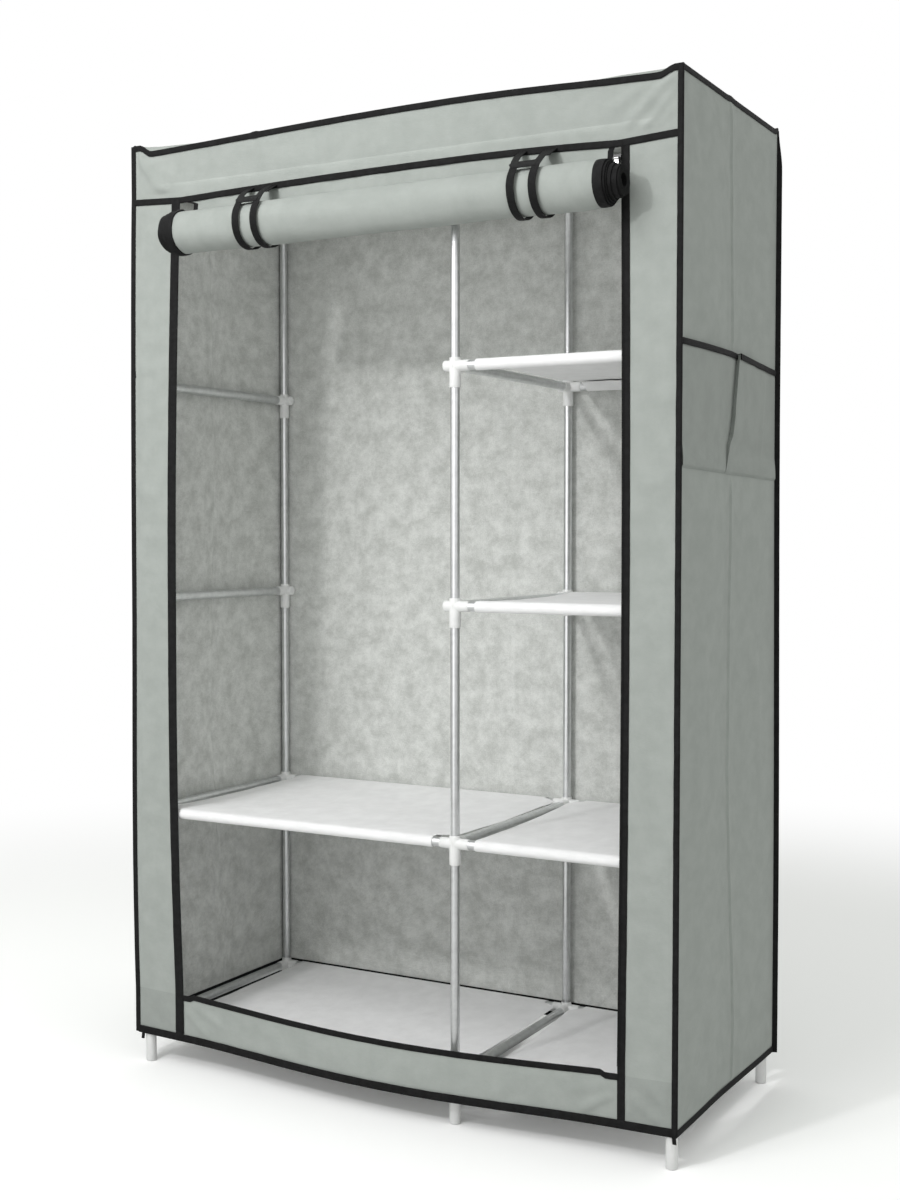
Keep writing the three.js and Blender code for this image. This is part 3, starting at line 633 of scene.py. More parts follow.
def addPost(column, row):
    x, y = columnX[column], rowY[row]
    node = f"post_{row}_{column}"
    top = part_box(node)[1].z + cover["lift"] - 0.001
    plastic, tubes = Shape(), Shape()
    for level, z in enumerate(levels, 1):
        bottom = 0.0 if level == 1 else z - connector["leg"]
        upper = top if level == 5 else z + connector["neck"]
        addSleeve(plastic, x, y, bottom, upper, 0.002 if level == 1 else connector["lip"], level == 5)
        for aim, hasTube in armsAt(column, row, level):
            addArm(plastic, x, y, z, aim, connector["armReach"] if hasTube else connector["stubReach"])
        if level < 5:
            foot = upper - connector["overlap"]
            head = levels[level] - connector["leg"] + connector["overlap"]
            tubes.turned([(tubeRadius, foot), (tubeRadius, head)], uprightPlace(x, y))
    plasticPiece(plastic, f"connectors_{row}_{column}", node)
    tubePiece(tubes, f"post_tubes_{row}_{column}", node, False)


def addTube(name, x, y, z, aim, length):
    shape = Shape()
    start = connector["radius"] + 0.0003
    shape.turned([(tubeRadius, start), (tubeRadius, length - start)], levelPlace(x, y, z, aim))
    tubePiece(shape, f"{name}_round", name, True)


def addTee(column, towards):
    shape = Shape()
    x, z = columnX[column], railZ
    half = connector["teeHalf"]
    shape.turned(roundEnds(connector["armRadius"], railY - half, railY + half, connector["lip"]),
                 levelPlace(x, 0, z, (0, 1)), 28)
    radius, reach = connector["armRadius"], connector["armReach"]
    addArm(shape, x, railY, z, (towards, 0), reach, 0.8 * radius)
    plasticPiece(shape, f"rail_tee_{column}", f"depth_tube_{column}_level_5")


def addFrame():
    for column in columnX:
        for row in rowY:
            addPost(column, row)
        for level, z in enumerate(levels, 1):
            addTube(f"depth_tube_{column}_level_{level}", columnX[column], rowY["front"], z, (0, 1),
                    rowY["rear"] - rowY["front"])
    for bay, (start, end, withTubes) in bays.items():
        for level in withTubes:
            for row, y in rowY.items():
                addTube(f"{row}_tube_{bay}_level_{level}", columnX[start], y, levels[level - 1], (1, 0),
                        columnX[end] - columnX[start])
    addTube("hanging_rail", columnX["left"], railY, railZ, (1, 0), columnX["centre"] - columnX["left"])
    addTee("left", 1)
    addTee("centre", -1)


addFrame()
print("frame dressed")

# Shelves: a panel whose front and rear edges are sewn into sleeves round the tubes
shelf = {
    "cloth": 0.0007,
    "sleeve": 0.0092,
    "sag": 0.004,
    "stitch": 0.03,
    "cell": 0.01,
    "widerLeft": 0.03,
    "widerRight": 0.024,
    "notch": (0.016, 0.028),
}


def shelfSection(frontAt, rearAt):
    radius, stitch = shelf["sleeve"], shelf["stitch"]

    def hem(at, inward):
        under = radius - 0.003
        leave = math.radians(-58)
        tangent = (at + inward * radius * math.cos(leave), radius * math.sin(leave))
        end = (at + inward * stitch, under)
        return [end, (mix(end[0], tangent[0], 0.35), mix(end[1], tangent[1], 0.33)),
                (mix(end[0], tangent[0], 0.7), mix(end[1], tangent[1], 0.69))]

    points = hem(frontAt, 1)
    for step in range(16):
        angle = math.radians(mix(-58, -270, step / 15))
        points.append((frontAt + radius * math.cos(angle), radius * math.sin(angle)))
    inner = 40
    for step in range(1, inner):
        share = step / inner
        sag = shelf["sag"] * math.sin(math.pi * share) ** 1.2
        points.append((mix(frontAt, rearAt, share), radius - sag))
    for step in range(16):
        angle = math.radians(mix(90, -122, step / 15))
        points.append((rearAt + radius * math.cos(angle), radius * math.sin(angle)))
    return points + hem(rearAt, -1)[::-1]


# Between its sleeves a panel is wider than they are and reaches to the centre tubes
def wider(bay, y):
    near, far = shelf["notch"]
    clear = smooth(y - rowY["front"], near, far) * smooth(rowY["rear"] - y, near, far)
    if bay == "left":
        return 0.0, shelf["widerLeft"] * clear
    across = (y - rowY["front"]) / (rowY["rear"] - rowY["front"])
    return shelf["widerRight"] * clear * across, 0.0


def addShelf(bay, level):
    node = f"shelf_{bay}_level_{level}"
    low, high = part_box(node)
    z = levels[level - 1]
    section = shelfSection(rowY["front"], rowY["rear"])
    length = sum(math.dist(a, b) for a, b in zip(section, section[1:]))
    width = high.x - low.x
    seed = level * 7.3 + (0 if bay == "left" else 31)

    def place(u, v):
        row = round(v * (len(section) - 1))
        y, up = section[row]
        more = wider(bay, y) if 18 < row < len(section) - 19 else (0, 0)
        x = mix(low.x - more[0], high.x + more[1], u)
        inside = smooth(y - rowY["front"], 0.012, 0.05) * smooth(rowY["rear"] - y, 0.012, 0.05)
        fromSide = min(x - low.x, high.x - x)
        onTop = smooth(up, 0.0035, 0.0045)
        soft = 0.0016 * ripple(x * 9, y * 9, seed) + 0.0008 * ripple(x * 28, y * 22, seed)
        fromTube = min(y - rowY["front"], rowY["rear"] - y)
        gathers = 0.0007 * math.sin(x * 190 + 3 * ripple(x * 8, seed)) * smooth(0.09 - fromTube, 0, 0.07)
        hem = -0.0005 if 0.0105 < fromSide < 0.0125 else 0
        stitches = -0.0005 * bell(fromTube - shelf["stitch"], 0.0025)
        return (x, y, z + up + onTop * inside * (soft + gathers + hem + stitches - 0.0006))

    columns = round(width / shelf["cell"])
    shape = Shape()
    shape.grid(columns, len(section) - 1, place, (width, length))
    made = shape.piece(f"{node}_cloth", [shelfCloth], nodes=(node,), slot="shelf_cloth",
                       thick=shelf["cloth"], flip=True, sharp=60)


for bay, shelfLevels in shelves.items():
    for level in shelfLevels:
        addShelf(bay, level)
print("shelves sewn")

# Front panels: folds run from the raised corners and across the side bands
frontFolds = [
    (-0.556, 1.756, -0.462, 1.64, 0.012, 0.007),
    (-0.535, 1.742, -0.43, 1.668, 0.016, 0.003),
    (0.546, 1.752, 0.446, 1.662, 0.01, 0.0058),
    (0.548, 1.73, 0.47, 1.645, 0.009, 0.0042),
    (0.54, 1.76, 0.41, 1.69, 0.012, 0.004),
    (0.548, 1.705, 0.5, 1.648, 0.008, 0.0024),
    (-0.552, 1.4, -0.478, 1.384, 0.008, 0.0012),
    (-0.552, 1.33, -0.47, 1.341, 0.007, 0.0014),
    (-0.552, 1.175, -0.48, 1.196, 0.008, 0.0013),
    (-0.55, 1.109, -0.48, 1.09, 0.008, 0.0013),
    (-0.55, 1.03, -0.48, 1.016, 0.008, 0.0012),
    (-0.552, 0.85, -0.48, 0.868, 0.01, 0.001),
    (-0.552, 0.478, -0.47, 0.492, 0.008, 0.0015),
    (-0.545, 0.07, -0.527, 0.128, 0.005, 0.0022),
    (-0.53, 0.132, -0.48, 0.095, 0.01, 0.0012),
    (0.548, 1.37, 0.47, 1.362, 0.008, 0.0012),
    (0.548, 1.23, 0.47, 1.245, 0.008, 0.0012),
    (0.548, 1.12, 0.47, 1.1, 0.008, 0.0011),
    (0.548, 0.9, 0.47, 0.88, 0.009, 0.0012),
    (0.548, 0.64, 0.47, 0.655, 0.009, 0.001),
    (0.462, 0.116, 0.541, 0.068, 0.006, 0.002),
    (0.494, 0.137, 0.54, 0.098, 0.006, 0.0015),
]
bandFolds = [
    (-0.446, 0.124, -0.375, 0.066, 0.008, 0.003),
    (-0.436, 0.134, -0.33, 0.086, 0.009, 0.0015),
    (0.446, 0.112, 0.372, 0.066, 0.008, 0.0028),
    (0.44, 0.128, 0.35, 0.1, 0.01, 0.0014),
    (-0.25, 0.12, -0.18, 0.06, 0.015, 0.0012),
    (0.02, 0.12, 0.11, 0.062, 0.018, 0.0012),
    (0.21, 0.064, 0.28, 0.116, 0.014, 0.0012),
]


def frontLift(x, z, seed=0.0):
    wide = 0.0018 * ripple(x * 7, z * 9, seed) + 0.0009 * ripple(x * 20, z * 34, seed + 4)
    return max(wide + foldHeight(frontFolds, x, z), -0.0004)


# Cloth lies flat under the tapes and lifts beyond them
def edgeFade(distance, near=0.008, reach=0.018):
    return smooth(distance, near, reach)


# A sewn panel: its cloth outside and its lining inside
def panel(shape, name, node, restsOn, held, flat, materials=(coverCloth, liningCloth), **more):
    made = shape.piece(name, materials, nodes=(node,), slot="cover_cloth", thick=cover["cloth"], **more)


def addHeader():
    def place(u, v):
        x = mix(-halfWidth, halfWidth, u)
        low, high = headerZ(x), topZ(x, frontY) - cover["underTop"]
        z = mix(low, high, v)
        held = edgeFade(min(halfWidth - abs(x), z - low, high - z))
        return (x, frontY - held * frontLift(x, z), z)

    shape = Shape()
    flat = (2 * halfWidth, cover["headerHeight"])
    shape.grid(220, 22, place, flat)
    panel(shape, "cover_header", "cover_front", ["post_front_left", "post_front_right"], "stretched", flat)


def addSideBand(side):
    seam = cover["bandSeam"]

    def place(u, v):
        x = mix(halfWidth, cover["opening"], u)
        z = mix(hemZ(x), headerZ(x), v)
        bowed = x + mix(cornerBow(side, z), zipBow(side, z), u)
        held = edgeFade(min(halfWidth - x, x - cover["opening"], z - hemZ(x), headerZ(x) - z))
        doubled = 0.0005 * (1 - smooth(z, seam - 0.001, seam + 0.001))
        return (side * bowed, frontY - held * (2.1 * frontLift(side * x, z, 9) + doubled), z)

    shape = Shape()
    # Below the seam the band takes the darkened copy of the cover cloth: painted shade
    shape.grid(20, 165, place, (halfWidth - cover["opening"], headerLevel - hemLevel),
               slot=lambda u, v: 1 if mix(hemLevel, headerLevel, v) < seam else 0)
    name = sideNames[side]
    panel(shape, f"cover_band_{name}", "cover_front", ["cover_header"], "hung",
          (halfWidth - cover["opening"] + cover["foldOver"], headerLevel - hemLevel),
          (coverCloth, shadeDarkenedCloth, liningCloth, liningCloth), flip=side > 0)


def addBottomBand():
    edge = cover["zipLine"] + 0.0105

    def place(u, v):
        x = mix(-edge, edge, u)
        low, high = hemZ(x), bandTopZ(x)
        z = mix(low, high, v)
        held = edgeFade(min(edge - abs(x), z - low, high - z))
        wide = 0.002 * ripple(x * 8, z * 12, 21) + 0.0006 * ripple(x * 26, z * 30, 22)
        lift = max(wide + 1.7 * foldHeight(bandFolds, x, z), -0.0004)
        return (leant(x, z), frontY - billow(x, v) - held * lift, z)

    shape = Shape()
    shape.grid(150, 16, place, (2 * edge, cover["bandHeight"]))
    panel(shape, "cover_bottom_band", "cover_front", ["cover_band_left", "cover_band_right"], "hung",
          (2 * edge + 0.006, cover["bandHeight"]))


addHeader()
addSideBand(-1)
addSideBand(1)
addBottomBand()

# Sides, back and top
sideFolds = [
    (-0.077, 0.216, -0.172, 0.062, 0.005, 0.004),
    (0.223, 0.14, 0.29, 0.068, 0.007, 0.003),
    (-0.186, 0.092, -0.15, 0.128, 0.006, 0.0026),
    (-0.18, 1.735, -0.12, 1.6, 0.012, 0.0024),
    (0.275, 1.735, 0.235, 1.56, 0.01, 0.0026),
    (-0.1, 0.9, -0.06, 0.64, 0.02, 0.0026),
    (0.16, 0.86, 0.2, 0.56, 0.02, 0.0026),
    (-0.12, 1.000, -0.165, 0.86, 0.012, 0.0018),
    (0.12, 1.56, 0.16, 1.4, 0.016, 0.002),
]
creasePath = [(1.74, 0.031), (1.36, 0.046), (1.1, 0.045), (0.64, 0.03), (0.17, 0.07), (0.06, 0.066)]
backFolds = [
    (-0.254, 1.7, -0.254, 0.08, 0.0045, -0.0026),
    (-0.254, 1.7, -0.254, 0.08, 0.014, 0.0032),
    (0.016, 1.7, 0.016, 0.08, 0.0045, -0.0026),
    (0.016, 1.7, 0.016, 0.08, 0.014, 0.0032),
    (0.223, 1.7, 0.226, 0.08, 0.0045, -0.0026),
    (0.223, 1.7, 0.226, 0.08, 0.014, 0.0032),
    (-0.5, 1.72, -0.4, 1.55, 0.015, 0.0015),
    (0.52, 1.7, 0.42, 1.5, 0.015, 0.0015),
    (-0.52, 0.1, -0.42, 0.26, 0.015, 0.0015),
    (0.5, 0.1, 0.4, 0.3, 0.015, 0.0015),
]


def creaseAt(z):
    for (highZ, highY), (lowZ, lowY) in zip(creasePath, creasePath[1:]):
        if z >= lowZ:
            return mix(lowY, highY, min((z - lowZ) / (highZ - lowZ), 1))
    return creasePath[-1][1]


def addSide(side):
    inset = 0.0006

    def place(u, v):
        pressed = creaseAt(mix(hemLevel, topLevel, v))
        if u < 0.5:
            y = mix(frontY + inset, pressed, 1 - (1 - 2 * u) ** 1.35)
        else:
            y = mix(pressed, backY - inset, (2 * u - 1) ** 1.35)
        high = topZ(halfWidth, y) - cover["underTop"]
        z = mix(hemLevel, high, v)
        overPocket = max(z - pocketLine("pocketTop", y) - 0.004, pocketLine("pocketBottom", y) - 0.004 - z)
        held = edgeFade(min(y - frontY, backY - y, z - hemLevel, high - z), 0.006, 0.02)
        held *= smooth(overPocket, 0, 0.012)
        beyond = y - pressed
        crease = 0.0034 * (smooth(beyond, -0.004, 0) if beyond < 0 else math.exp(-beyond / 0.014))
        wide = 0.0022 * ripple(y * 7, z * 5, 40 + side) + 0.0008 * ripple(y * 20, z * 16, 44)
        lift = max(wide + crease + foldHeight(sideFolds, y, z), -0.0003)
        return (side * (halfWidth + sideBow(side, y, z) + sideSwell(y, z) + held * lift), y, z)

    shape = Shape()
    flat = (backY - frontY, topLevel - hemLevel)
    shape.grid(96, 168, place, flat)
    name = sideNames[side]
    panel(shape, f"side_panel_{name}", f"cover_side_{name}", [f"post_front_{name}", f"post_rear_{name}"],
          "hung", flat, flip=side < 0)


def addBack():
    def place(u, v):
        x = mix(-halfWidth, halfWidth, u)
        high = topZ(x, backY) - cover["underTop"]
        z = mix(hemLevel, high, v)
        held = edgeFade(min(halfWidth - abs(x), z - hemLevel, high - z), 0.004, 0.018)
        wide = 0.0018 * ripple(x * 5, z * 5, 60) + 0.0007 * ripple(x * 15, z * 17, 64)
        lift = max(wide + foldHeight(backFolds, x, z), -0.0003)
        return (x + leanRear(z) * max(x / halfWidth, 0) ** 3, backY + backSwell(x, z) + held * lift, z)

    shape = Shape()
    flat = (2 * halfWidth, topLevel - hemLevel)
    shape.grid(240, 120, place, flat)
    panel(shape, "back_panel", "cover_back", ["post_rear_left", "post_rear_right"], "hung", flat, flip=True)


def addTop():
    def place(u, v):
        x = mix(-halfWidth, halfWidth, u)
        y = mix(frontY, backY, v)
        held = edgeFade(min(halfWidth - abs(x), y - frontY, backY - y), 0.005, 0.02)
        lift = max(0.0012 * ripple(x * 9, y * 9, 80) + 0.0005 * ripple(x * 26, y * 26, 81), -0.0003)
        return (x, y, topZ(x, y) + held * lift)

    shape = Shape()
    flat = (2 * halfWidth, backY - frontY)
    shape.grid(150, 66, place, flat)
    panel(shape, "top_panel", "cover_top", ["post_front_centre", "post_rear_centre"], "stretched", flat)


addSide(-1)
addSide(1)
addBack()
addTop()
print("cover panels hung")

# Side pockets: one cloth bound along its top, whose rear part laps over the front part at the pleat
pocket = {
    "bulge": 0.004,
    "lap": 0.0085,
    "inset": 0.0045,
    "pleatTop": 0.058,
    "pleatBottom": 0.01,
    "tuck": 0.007,
    "frontShare": 0.56,
    "height": 0.202,
    "taken": 0.02,
}


def pocketPlace(u, v):
    first, last = frontY + pocket["inset"], backY - pocket["inset"]
    pleat = mix(pocket["pleatBottom"], pocket["pleatTop"], v) + 0.007 * smooth(v, 0.26, 0.31)
    share = pocket["frontShare"]
    if u < share:
        along = 1 - (1 - u / share) ** 1.5
        y = mix(first, pleat + pocket["tuck"] * v ** 0.5, along)
        out = pocket["bulge"] * math.sin(math.pi * along) ** 0.8 * v ** 0.5
    else:
        along = ((u - share) / (1 - share)) ** 1.5
        y = mix(pleat, last, along)
        out = pocket["lap"] * (1 - along) ** 1.4 * smooth(v, -0.05, 0.35)
    return y, out


def pocketBase():
    return halfWidth + 0.0003 + 0.0012


def pocketLean(side, y, z):
    return sideBow(side, y, z) if side > 0 else 0


def addPocket(side):
    first, last = frontY + pocket["inset"], backY - pocket["inset"]

    def place(u, v):
        v = v ** 1.7
        y, out = pocketPlace(u, v)
        z = mix(pocketLine("pocketBottom", y), pocketLine("pocketTop", y), v)
        held = edgeFade(min(y - first, last - y), 0.012) * smooth(v, 0.0, 0.12)
        wide = 0.0018 * ripple(y * 10, z * 10, 90 + side) + 0.0007 * ripple(y * 30, z * 24, 92)
        soft = 0.003 * bell(y - mix(0.185, 0.225, v), 0.006) * smooth(v, 0.05, 0.3)
        soft *= 1 - smooth(v, 0.75, 0.93)
        seam = -0.0009 + 0.0024 * smooth(v, 0.006, 0.016) * (1 - smooth(v, 0.05, 0.25))
        out += held * max(wide + soft, -0.0002) + seam + pocketBase() + pocketLean(side, y, z)
        return (side * out, y, z)

    shape = Shape()
    flat = (last - first + pocket["taken"], pocket["height"])
    shape.grid(100, 30, place, flat)
    name = sideNames[side]
    # The pocket's outer face takes the darkened copy of the cover cloth: painted shade
    panel(shape, f"side_pocket_{name}", f"pocket_{name}", [f"side_panel_{name}"], "stretched", flat,
          (shadeDarkenedCloth, liningCloth), flip=side < 0, sharp=70)


addPocket(-1)
addPocket(1)
print("pockets sewn")

# Binding tape: sections as steps out of the cloth and along it, in metres
tape = {
    "width": 0.01,
    "topWidth": 0.0095,
    "sideWidth": 0.0085,
    "headerWidth": 0.0118,
    "bandWidth": 0.011,
    "hemWidth": 0.0125,
    "finWidth": 0.0085,
    "finHalf": 0.0009,
    "finTurn": 0.38,
    "cornerWidth": 0.0072,
    "cornerFold": 0.0025,
    "out": 0.0015,
    "fold": 0.004,
    "thick": 0.0008,
    "zipLeft": (0.4415, 0.019),
    "zipRight": (0.4475, 0.0138),
    "pocketWidth": 0.0105,
    "cell": 0.008,
    "wobble": 0.0005,
    "joint": 0.3091,
    "innerHeight": 0.026,
    "innerWidth": 0.0065,
}


def faceSection(width, out):
    return [(out - 0.0006, -width), (out - 0.0001, -0.93 * width), (out + 0.0001, -0.7 * width),
            (out + 0.0002, -0.35 * width), (out, -0.0004)]


def angleSection(width, fold, out):
    return faceSection(width, out) + [(0.92 * out, 0.5 * out), (0.5 * out, 0.92 * out), (0, out),
                                      (-0.5 * fold, out), (-fold, out - 0.0005)]


def flatSection(width, over, out):
    rows = [(-0.0006, 1), (-0.0001, 0.94), (0.0002, 0.75), (0, 0.5), (0.0002, 0.25),
            (-0.0001, 0.06), (-0.0006, 0)]
    return [(out + up, over - share * width) for up, share in rows]


# A seam whose two edges are bound together and stand out from the corner
def finSection(width, half):
    return [(half, -0.0025), (half + 0.0001, 0.3 * width), (half, 0.75 * width), (0.9 * half, 0.93 * width),
            (0.4 * half, width), (-0.4 * half, width), (-0.9 * half, 0.93 * width), (-half, 0.75 * width),
            (-half - 0.0001, 0.3 * width), (-half, 0.001)]


def hemSection(width, out, inside=0.008):
    return faceSection(width, out) + [(0.7 * out, 0.7 * out), (0.1 * out, out), (-0.001, 0.8 * out),
                                      (-0.0017, 0.1 * out), (-0.0018, -0.4 * inside), (-0.0018, -inside)]


# Sweep a section along a path that gives the seam's corner, the outward way and the way over the edge
def addTape(shape, path, section, length, seed=0.0, joints=()):
    steps = max(round(length / tape["cell"]), 2)
    reach = sum(math.dist(a, b) for a, b in zip(section, section[1:]))

    def place(u, v):
        corner, face, edge = path(u)
        out, up = section[round(v * (len(section) - 1))]
        away = tape["wobble"] * ripple(u * length * 22, seed)
        lump = sum(math.exp(-(((u * length - joint) / 0.006) ** 4)) for joint in joints)
        onFace = 1 if out > 0 else 0
        wide = away * (1 if up < -0.5 * tape["width"] else 0.3)
        wide += 0.0013 * lump * (up > -0.0006) - 0.0008 * lump * (up < -0.006)
        return Vector(corner) + Vector(face) * (out + onFace * 0.0009 * lump) + Vector(edge) * (up + wide)

    shape.grid(steps, len(section) - 1, place, (length, reach))


def tapePiece(name, build, thick=tape["thick"]):
    shape = Shape()
    build(shape)
    made = shape.piece(name, [blackTape], nodes=("cover_binding",), slot="seam_tape", thick=thick, sharp=75)
    work = bmesh.new()
    work.from_mesh(made.data)
    bmesh.ops.recalc_face_normals(work, faces=work.faces)
    work.to_mesh(made.data)
    work.free()


def clampX(x):
    return min(max(x, -halfWidth), halfWidth)


def clampY(y):
    return min(max(y, frontY), backY)


def topEdges(shape):
    over = 0.0012
    for end, y in ((-1, frontY), (1, backY)):
        def path(u, end=end, y=y):
            x = mix(-halfWidth - over, halfWidth + over, u)
            return (x, y, topZ(clampX(x), y)), (0, end, 0), (0, 0, 1)
        section = angleSection(tape["topWidth"], tape["fold"], tape["out"] + 0.0004)
        addTape(shape, path, section, 2.2 * halfWidth, 1 + end, (tape["joint"],) if end < 0 else ())
    for side in (-1, 1):
        def path(u, side=side):
            y = mix(frontY - over, backY + over, u)
            return (side * halfWidth, y, topZ(halfWidth, clampY(y))), (side, 0, 0), (0, 0, 1)
        section = angleSection(tape["sideWidth"], tape["fold"], tape["out"] + 0.0002)
        addTape(shape, path, section, backY - frontY, 5 + side)


# The front right seam lies flat, the other three stand out
def cornerEdges(shape):
    def flat(u):
        z = mix(hemLevel - 0.001, topLevel + 0.0012, u)
        return (halfWidth, frontY, z), (0, -1, 0), (1, 0, 0)
    height = topLevel - hemLevel
    addTape(shape, flat, angleSection(tape["cornerWidth"], tape["cornerFold"], 0.0013), height, 10)

    def frontLeft(u):
        z = mix(hemLevel - 0.001, topLevel + 0.0008, u)
        return (-halfWidth - cornerBow(-1, z), frontY - 0.0002, z), (0, -1, 0), (-1, 0, 0)
    fin = finSection(tape["finWidth"], tape["finHalf"])
    addTape(shape, frontLeft, fin, height, 11)
    for side in (-1, 1):
        def rear(u, side=side):
            z = mix(hemLevel - 0.001, topLevel + 0.0008, u)
            width = smooth(topLevel - z, -0.004, 0.07)
            way = Vector((side, tape["finTurn"], 0)).normalized()
            across = Vector((tape["finTurn"] * side, -1, 0)).normalized()
            lean = leanRear(z) if side > 0 else 0
            corner = Vector((side * halfWidth + lean, backY, z))
            return corner - way * tape["finWidth"] * 0.75 * (1 - width), across, way
        addTape(shape, rear, fin, height, 13 + side)


def hemEdges(shape):
    over = 0.001
    for end, y in ((-1, frontY), (1, backY)):
        def path(u, end=end, y=y):
            x = mix(-halfWidth - over, halfWidth + over, u)
            out = billow(x, 0) if end < 0 else 0
            low = hemZ(clampX(x)) if end < 0 else hemLevel
            across = leant(x, low) if end < 0 else x + leanRear(low) * max(x / halfWidth, 0) ** 3
            return (across, y + end * out, low), (0, end, 0), (0, 0, -1)
        addTape(shape, path, hemSection(tape["hemWidth"], tape["out"] + 0.0004), 2 * halfWidth, 20 + end)
    for side in (-1, 1):
        def path(u, side=side):
            y = mix(frontY - over, backY + over, u)
            share = (y - frontY) / (backY - frontY)
            x = side * (halfWidth + sideBow(side, y, hemLevel))
            return (x, y, hemLevel + 0.002 * smooth(share, 0.1, 0.5)), (side, 0, 0), (0, 0, -1)
        addTape(shape, path, hemSection(tape["width"], tape["out"] + 0.0002), backY - frontY, 25 + side)


def headerSeam(shape):
    def path(u):
        x = mix(-halfWidth - 0.0008, halfWidth + 0.0008, u)
        return (x, frontY, headerZ(clampX(x))), (0, -1, 0), (0, 0, 1)
    addTape(shape, path, flatSection(tape["headerWidth"], 0.002, tape["out"] + 0.0004), 2 * halfWidth, 30)


def bandSeam(shape):
    end = cover["zipLine"] + 0.009

    def path(u):
        x = mix(-end, end, u)
        top = bandTopZ(x)
        share = (top + 0.002 - tape["bandWidth"] - hemZ(x)) / (top - hemZ(x))
        return (leant(x, top), frontY - billow(x, share), top), (0, -1, 0), (0, 0, 1)
    addTape(shape, path, flatSection(tape["bandWidth"], 0.002, tape["out"] + 0.0004), 2 * end, 35)


def zipTapePath(side):
    low = hemZ(cover["opening"]) + 0.002
    high = headerZ(cover["opening"]) - 0.002

    def path(u):
        z = mix(low, high, u)
        edge = tape["zipLeft" if side < 0 else "zipRight"][0]
        return (side * (edge + zipBow(side, z)), frontY, z), (0, -1, 0), (-side, 0, 0)
    return path, high - low


def zipTapeStrip(side):
    def build(shape):
        path, length = zipTapePath(side)
        width = tape["zipLeft" if side < 0 else "zipRight"][1]
        addTape(shape, path, flatSection(width, 0, tape["out"]), length, 40 + side)
    return build


# Teeth stand along the free edge of each zip tape
teeth = {
    "pitch": 0.0026,
    "length": 0.0034,
    "height": 0.0015,
    "depth": 0.00175,
    "gap": 0.0002,
    "slope": 0.0003,
}
toothFaces = [(0, 1, 2, 3), (4, 7, 6, 5), (0, 4, 5, 1), (1, 5, 6, 2), (2, 6, 7, 3), (3, 7, 4, 0)]


def zipTeeth(side):
    def build(shape):
        path, length = zipTapePath(side)
        count = int((length - cover["bandHeight"] - 0.01) / teeth["pitch"])
        for tooth in range(count):
            share = 1 - (0.003 + tooth * teeth["pitch"]) / length
            corner, _, edge = path(share)
            x0 = corner[0] - edge[0] * teeth["gap"]
            x1 = x0 - edge[0] * teeth["length"]
            y0, y1 = frontY - teeth["gap"], frontY - teeth["depth"]
            low, high = corner[2] - teeth["height"] / 2, corner[2] + teeth["height"] / 2
            first = len(shape.points)
            slope = teeth["slope"]
            shape.points += [(x0, y0, low), (x1, y0, low), (x1, y0, high), (x0, y0, high),
                             (x0, y1, low + slope), (x1, y1, low + slope), (x1, y1, high - slope),
                             (x0, y1, high - slope)]
            for sides in toothFaces:
                shape.faces.append([first + corner for corner in sides])
                shape.flat += [(0, 0), (0.003, 0), (0.003, 0.002), (0, 0.002)]
                shape.slots.append(0)
    return build


# The tape follows the pocket's mouth round the lap
def pocketEdge(side):
    def build(shape):
        def path(u):
            y, out = pocketPlace(min(max(mix(-0.02, 1.02, u), 0), 1), 1.0)
            if u < 0.02:
                y, out = mix(frontY - 0.001, y, u / 0.02), -0.001
            elif u > 0.98:
                y, out = mix(y, backY + 0.001, (u - 0.98) / 0.02), -0.001
            z = pocketLine("pocketTop", y)
            out += pocketBase() + pocketLean(side, y, z)
            return (side * out, y, z), (side, 0, 0), (0, 0, 1)
        addTape(shape, path, flatSection(tape["pocketWidth"], 0.0015, tape["out"] + 0.0001), 0.8, 50 + side)
    return build


# Inside, each seam shows a narrow tape of its own
def innerSeams(shape):
    inner = cover["cloth"] + 0.0001

    def strip(path, length, width, seed):
        section = [(0.0002, 0), (0.0004, 0.5 * width), (0.0002, width)]
        addTape(shape, path, section, length, seed)

    height = topLevel - hemLevel - 0.02
    for side in (-1, 1):
        for end, y in ((-1, frontY), (1, backY)):
            def ontoSide(u, side=side, end=end, y=y):
                z = mix(hemLevel + 0.01, topLevel - 0.01, u)
                return (side * (halfWidth - inner), y - end * 0.0012, z), (-side, 0, 0), (0, -end, 0)

            def ontoEnd(u, side=side, end=end, y=y):
                z = mix(hemLevel + 0.01, topLevel - 0.01, u)
                return (side * (halfWidth - 0.0012), y - end * inner, z), (0, -end, 0), (-side, 0, 0)
            strip(ontoSide, height, 0.01, 60)
            strip(ontoEnd, height, 0.01, 61)

        def alongSide(u, side=side):
            y = mix(frontY + 0.012, backY - 0.0015, u)
            return (side * (halfWidth - inner), y, hemLevel + tape["innerHeight"]), (-side, 0, 0), (0, 0, 1)
        strip(alongSide, backY - frontY, tape["innerWidth"], 62)

    def alongBack(u):
        x = mix(0.0015 - halfWidth, halfWidth - 0.0015, u)
        return (x, backY - inner, hemLevel + tape["innerHeight"]), (0, -1, 0), (0, 0, 1)
    strip(alongBack, 2 * halfWidth, tape["innerWidth"], 63)


def hemTails(shape):
    for side in (-1, 1):
        def path(u, side=side):
            z = hemLevel - 0.0005 - 0.0125 * u
            x = side * (halfWidth - 0.004 + 0.0015 * u)
            return (x, frontY - 0.0004 - 0.0004 * u, z), (0, -1, 0), (side, 0, 0)
        section = [(0.0002, -0.0035), (0.0006, -0.002), (0.0006, 0.002), (0.0002, 0.0035)]
        addTape(shape, path, section, 0.0125, 70)


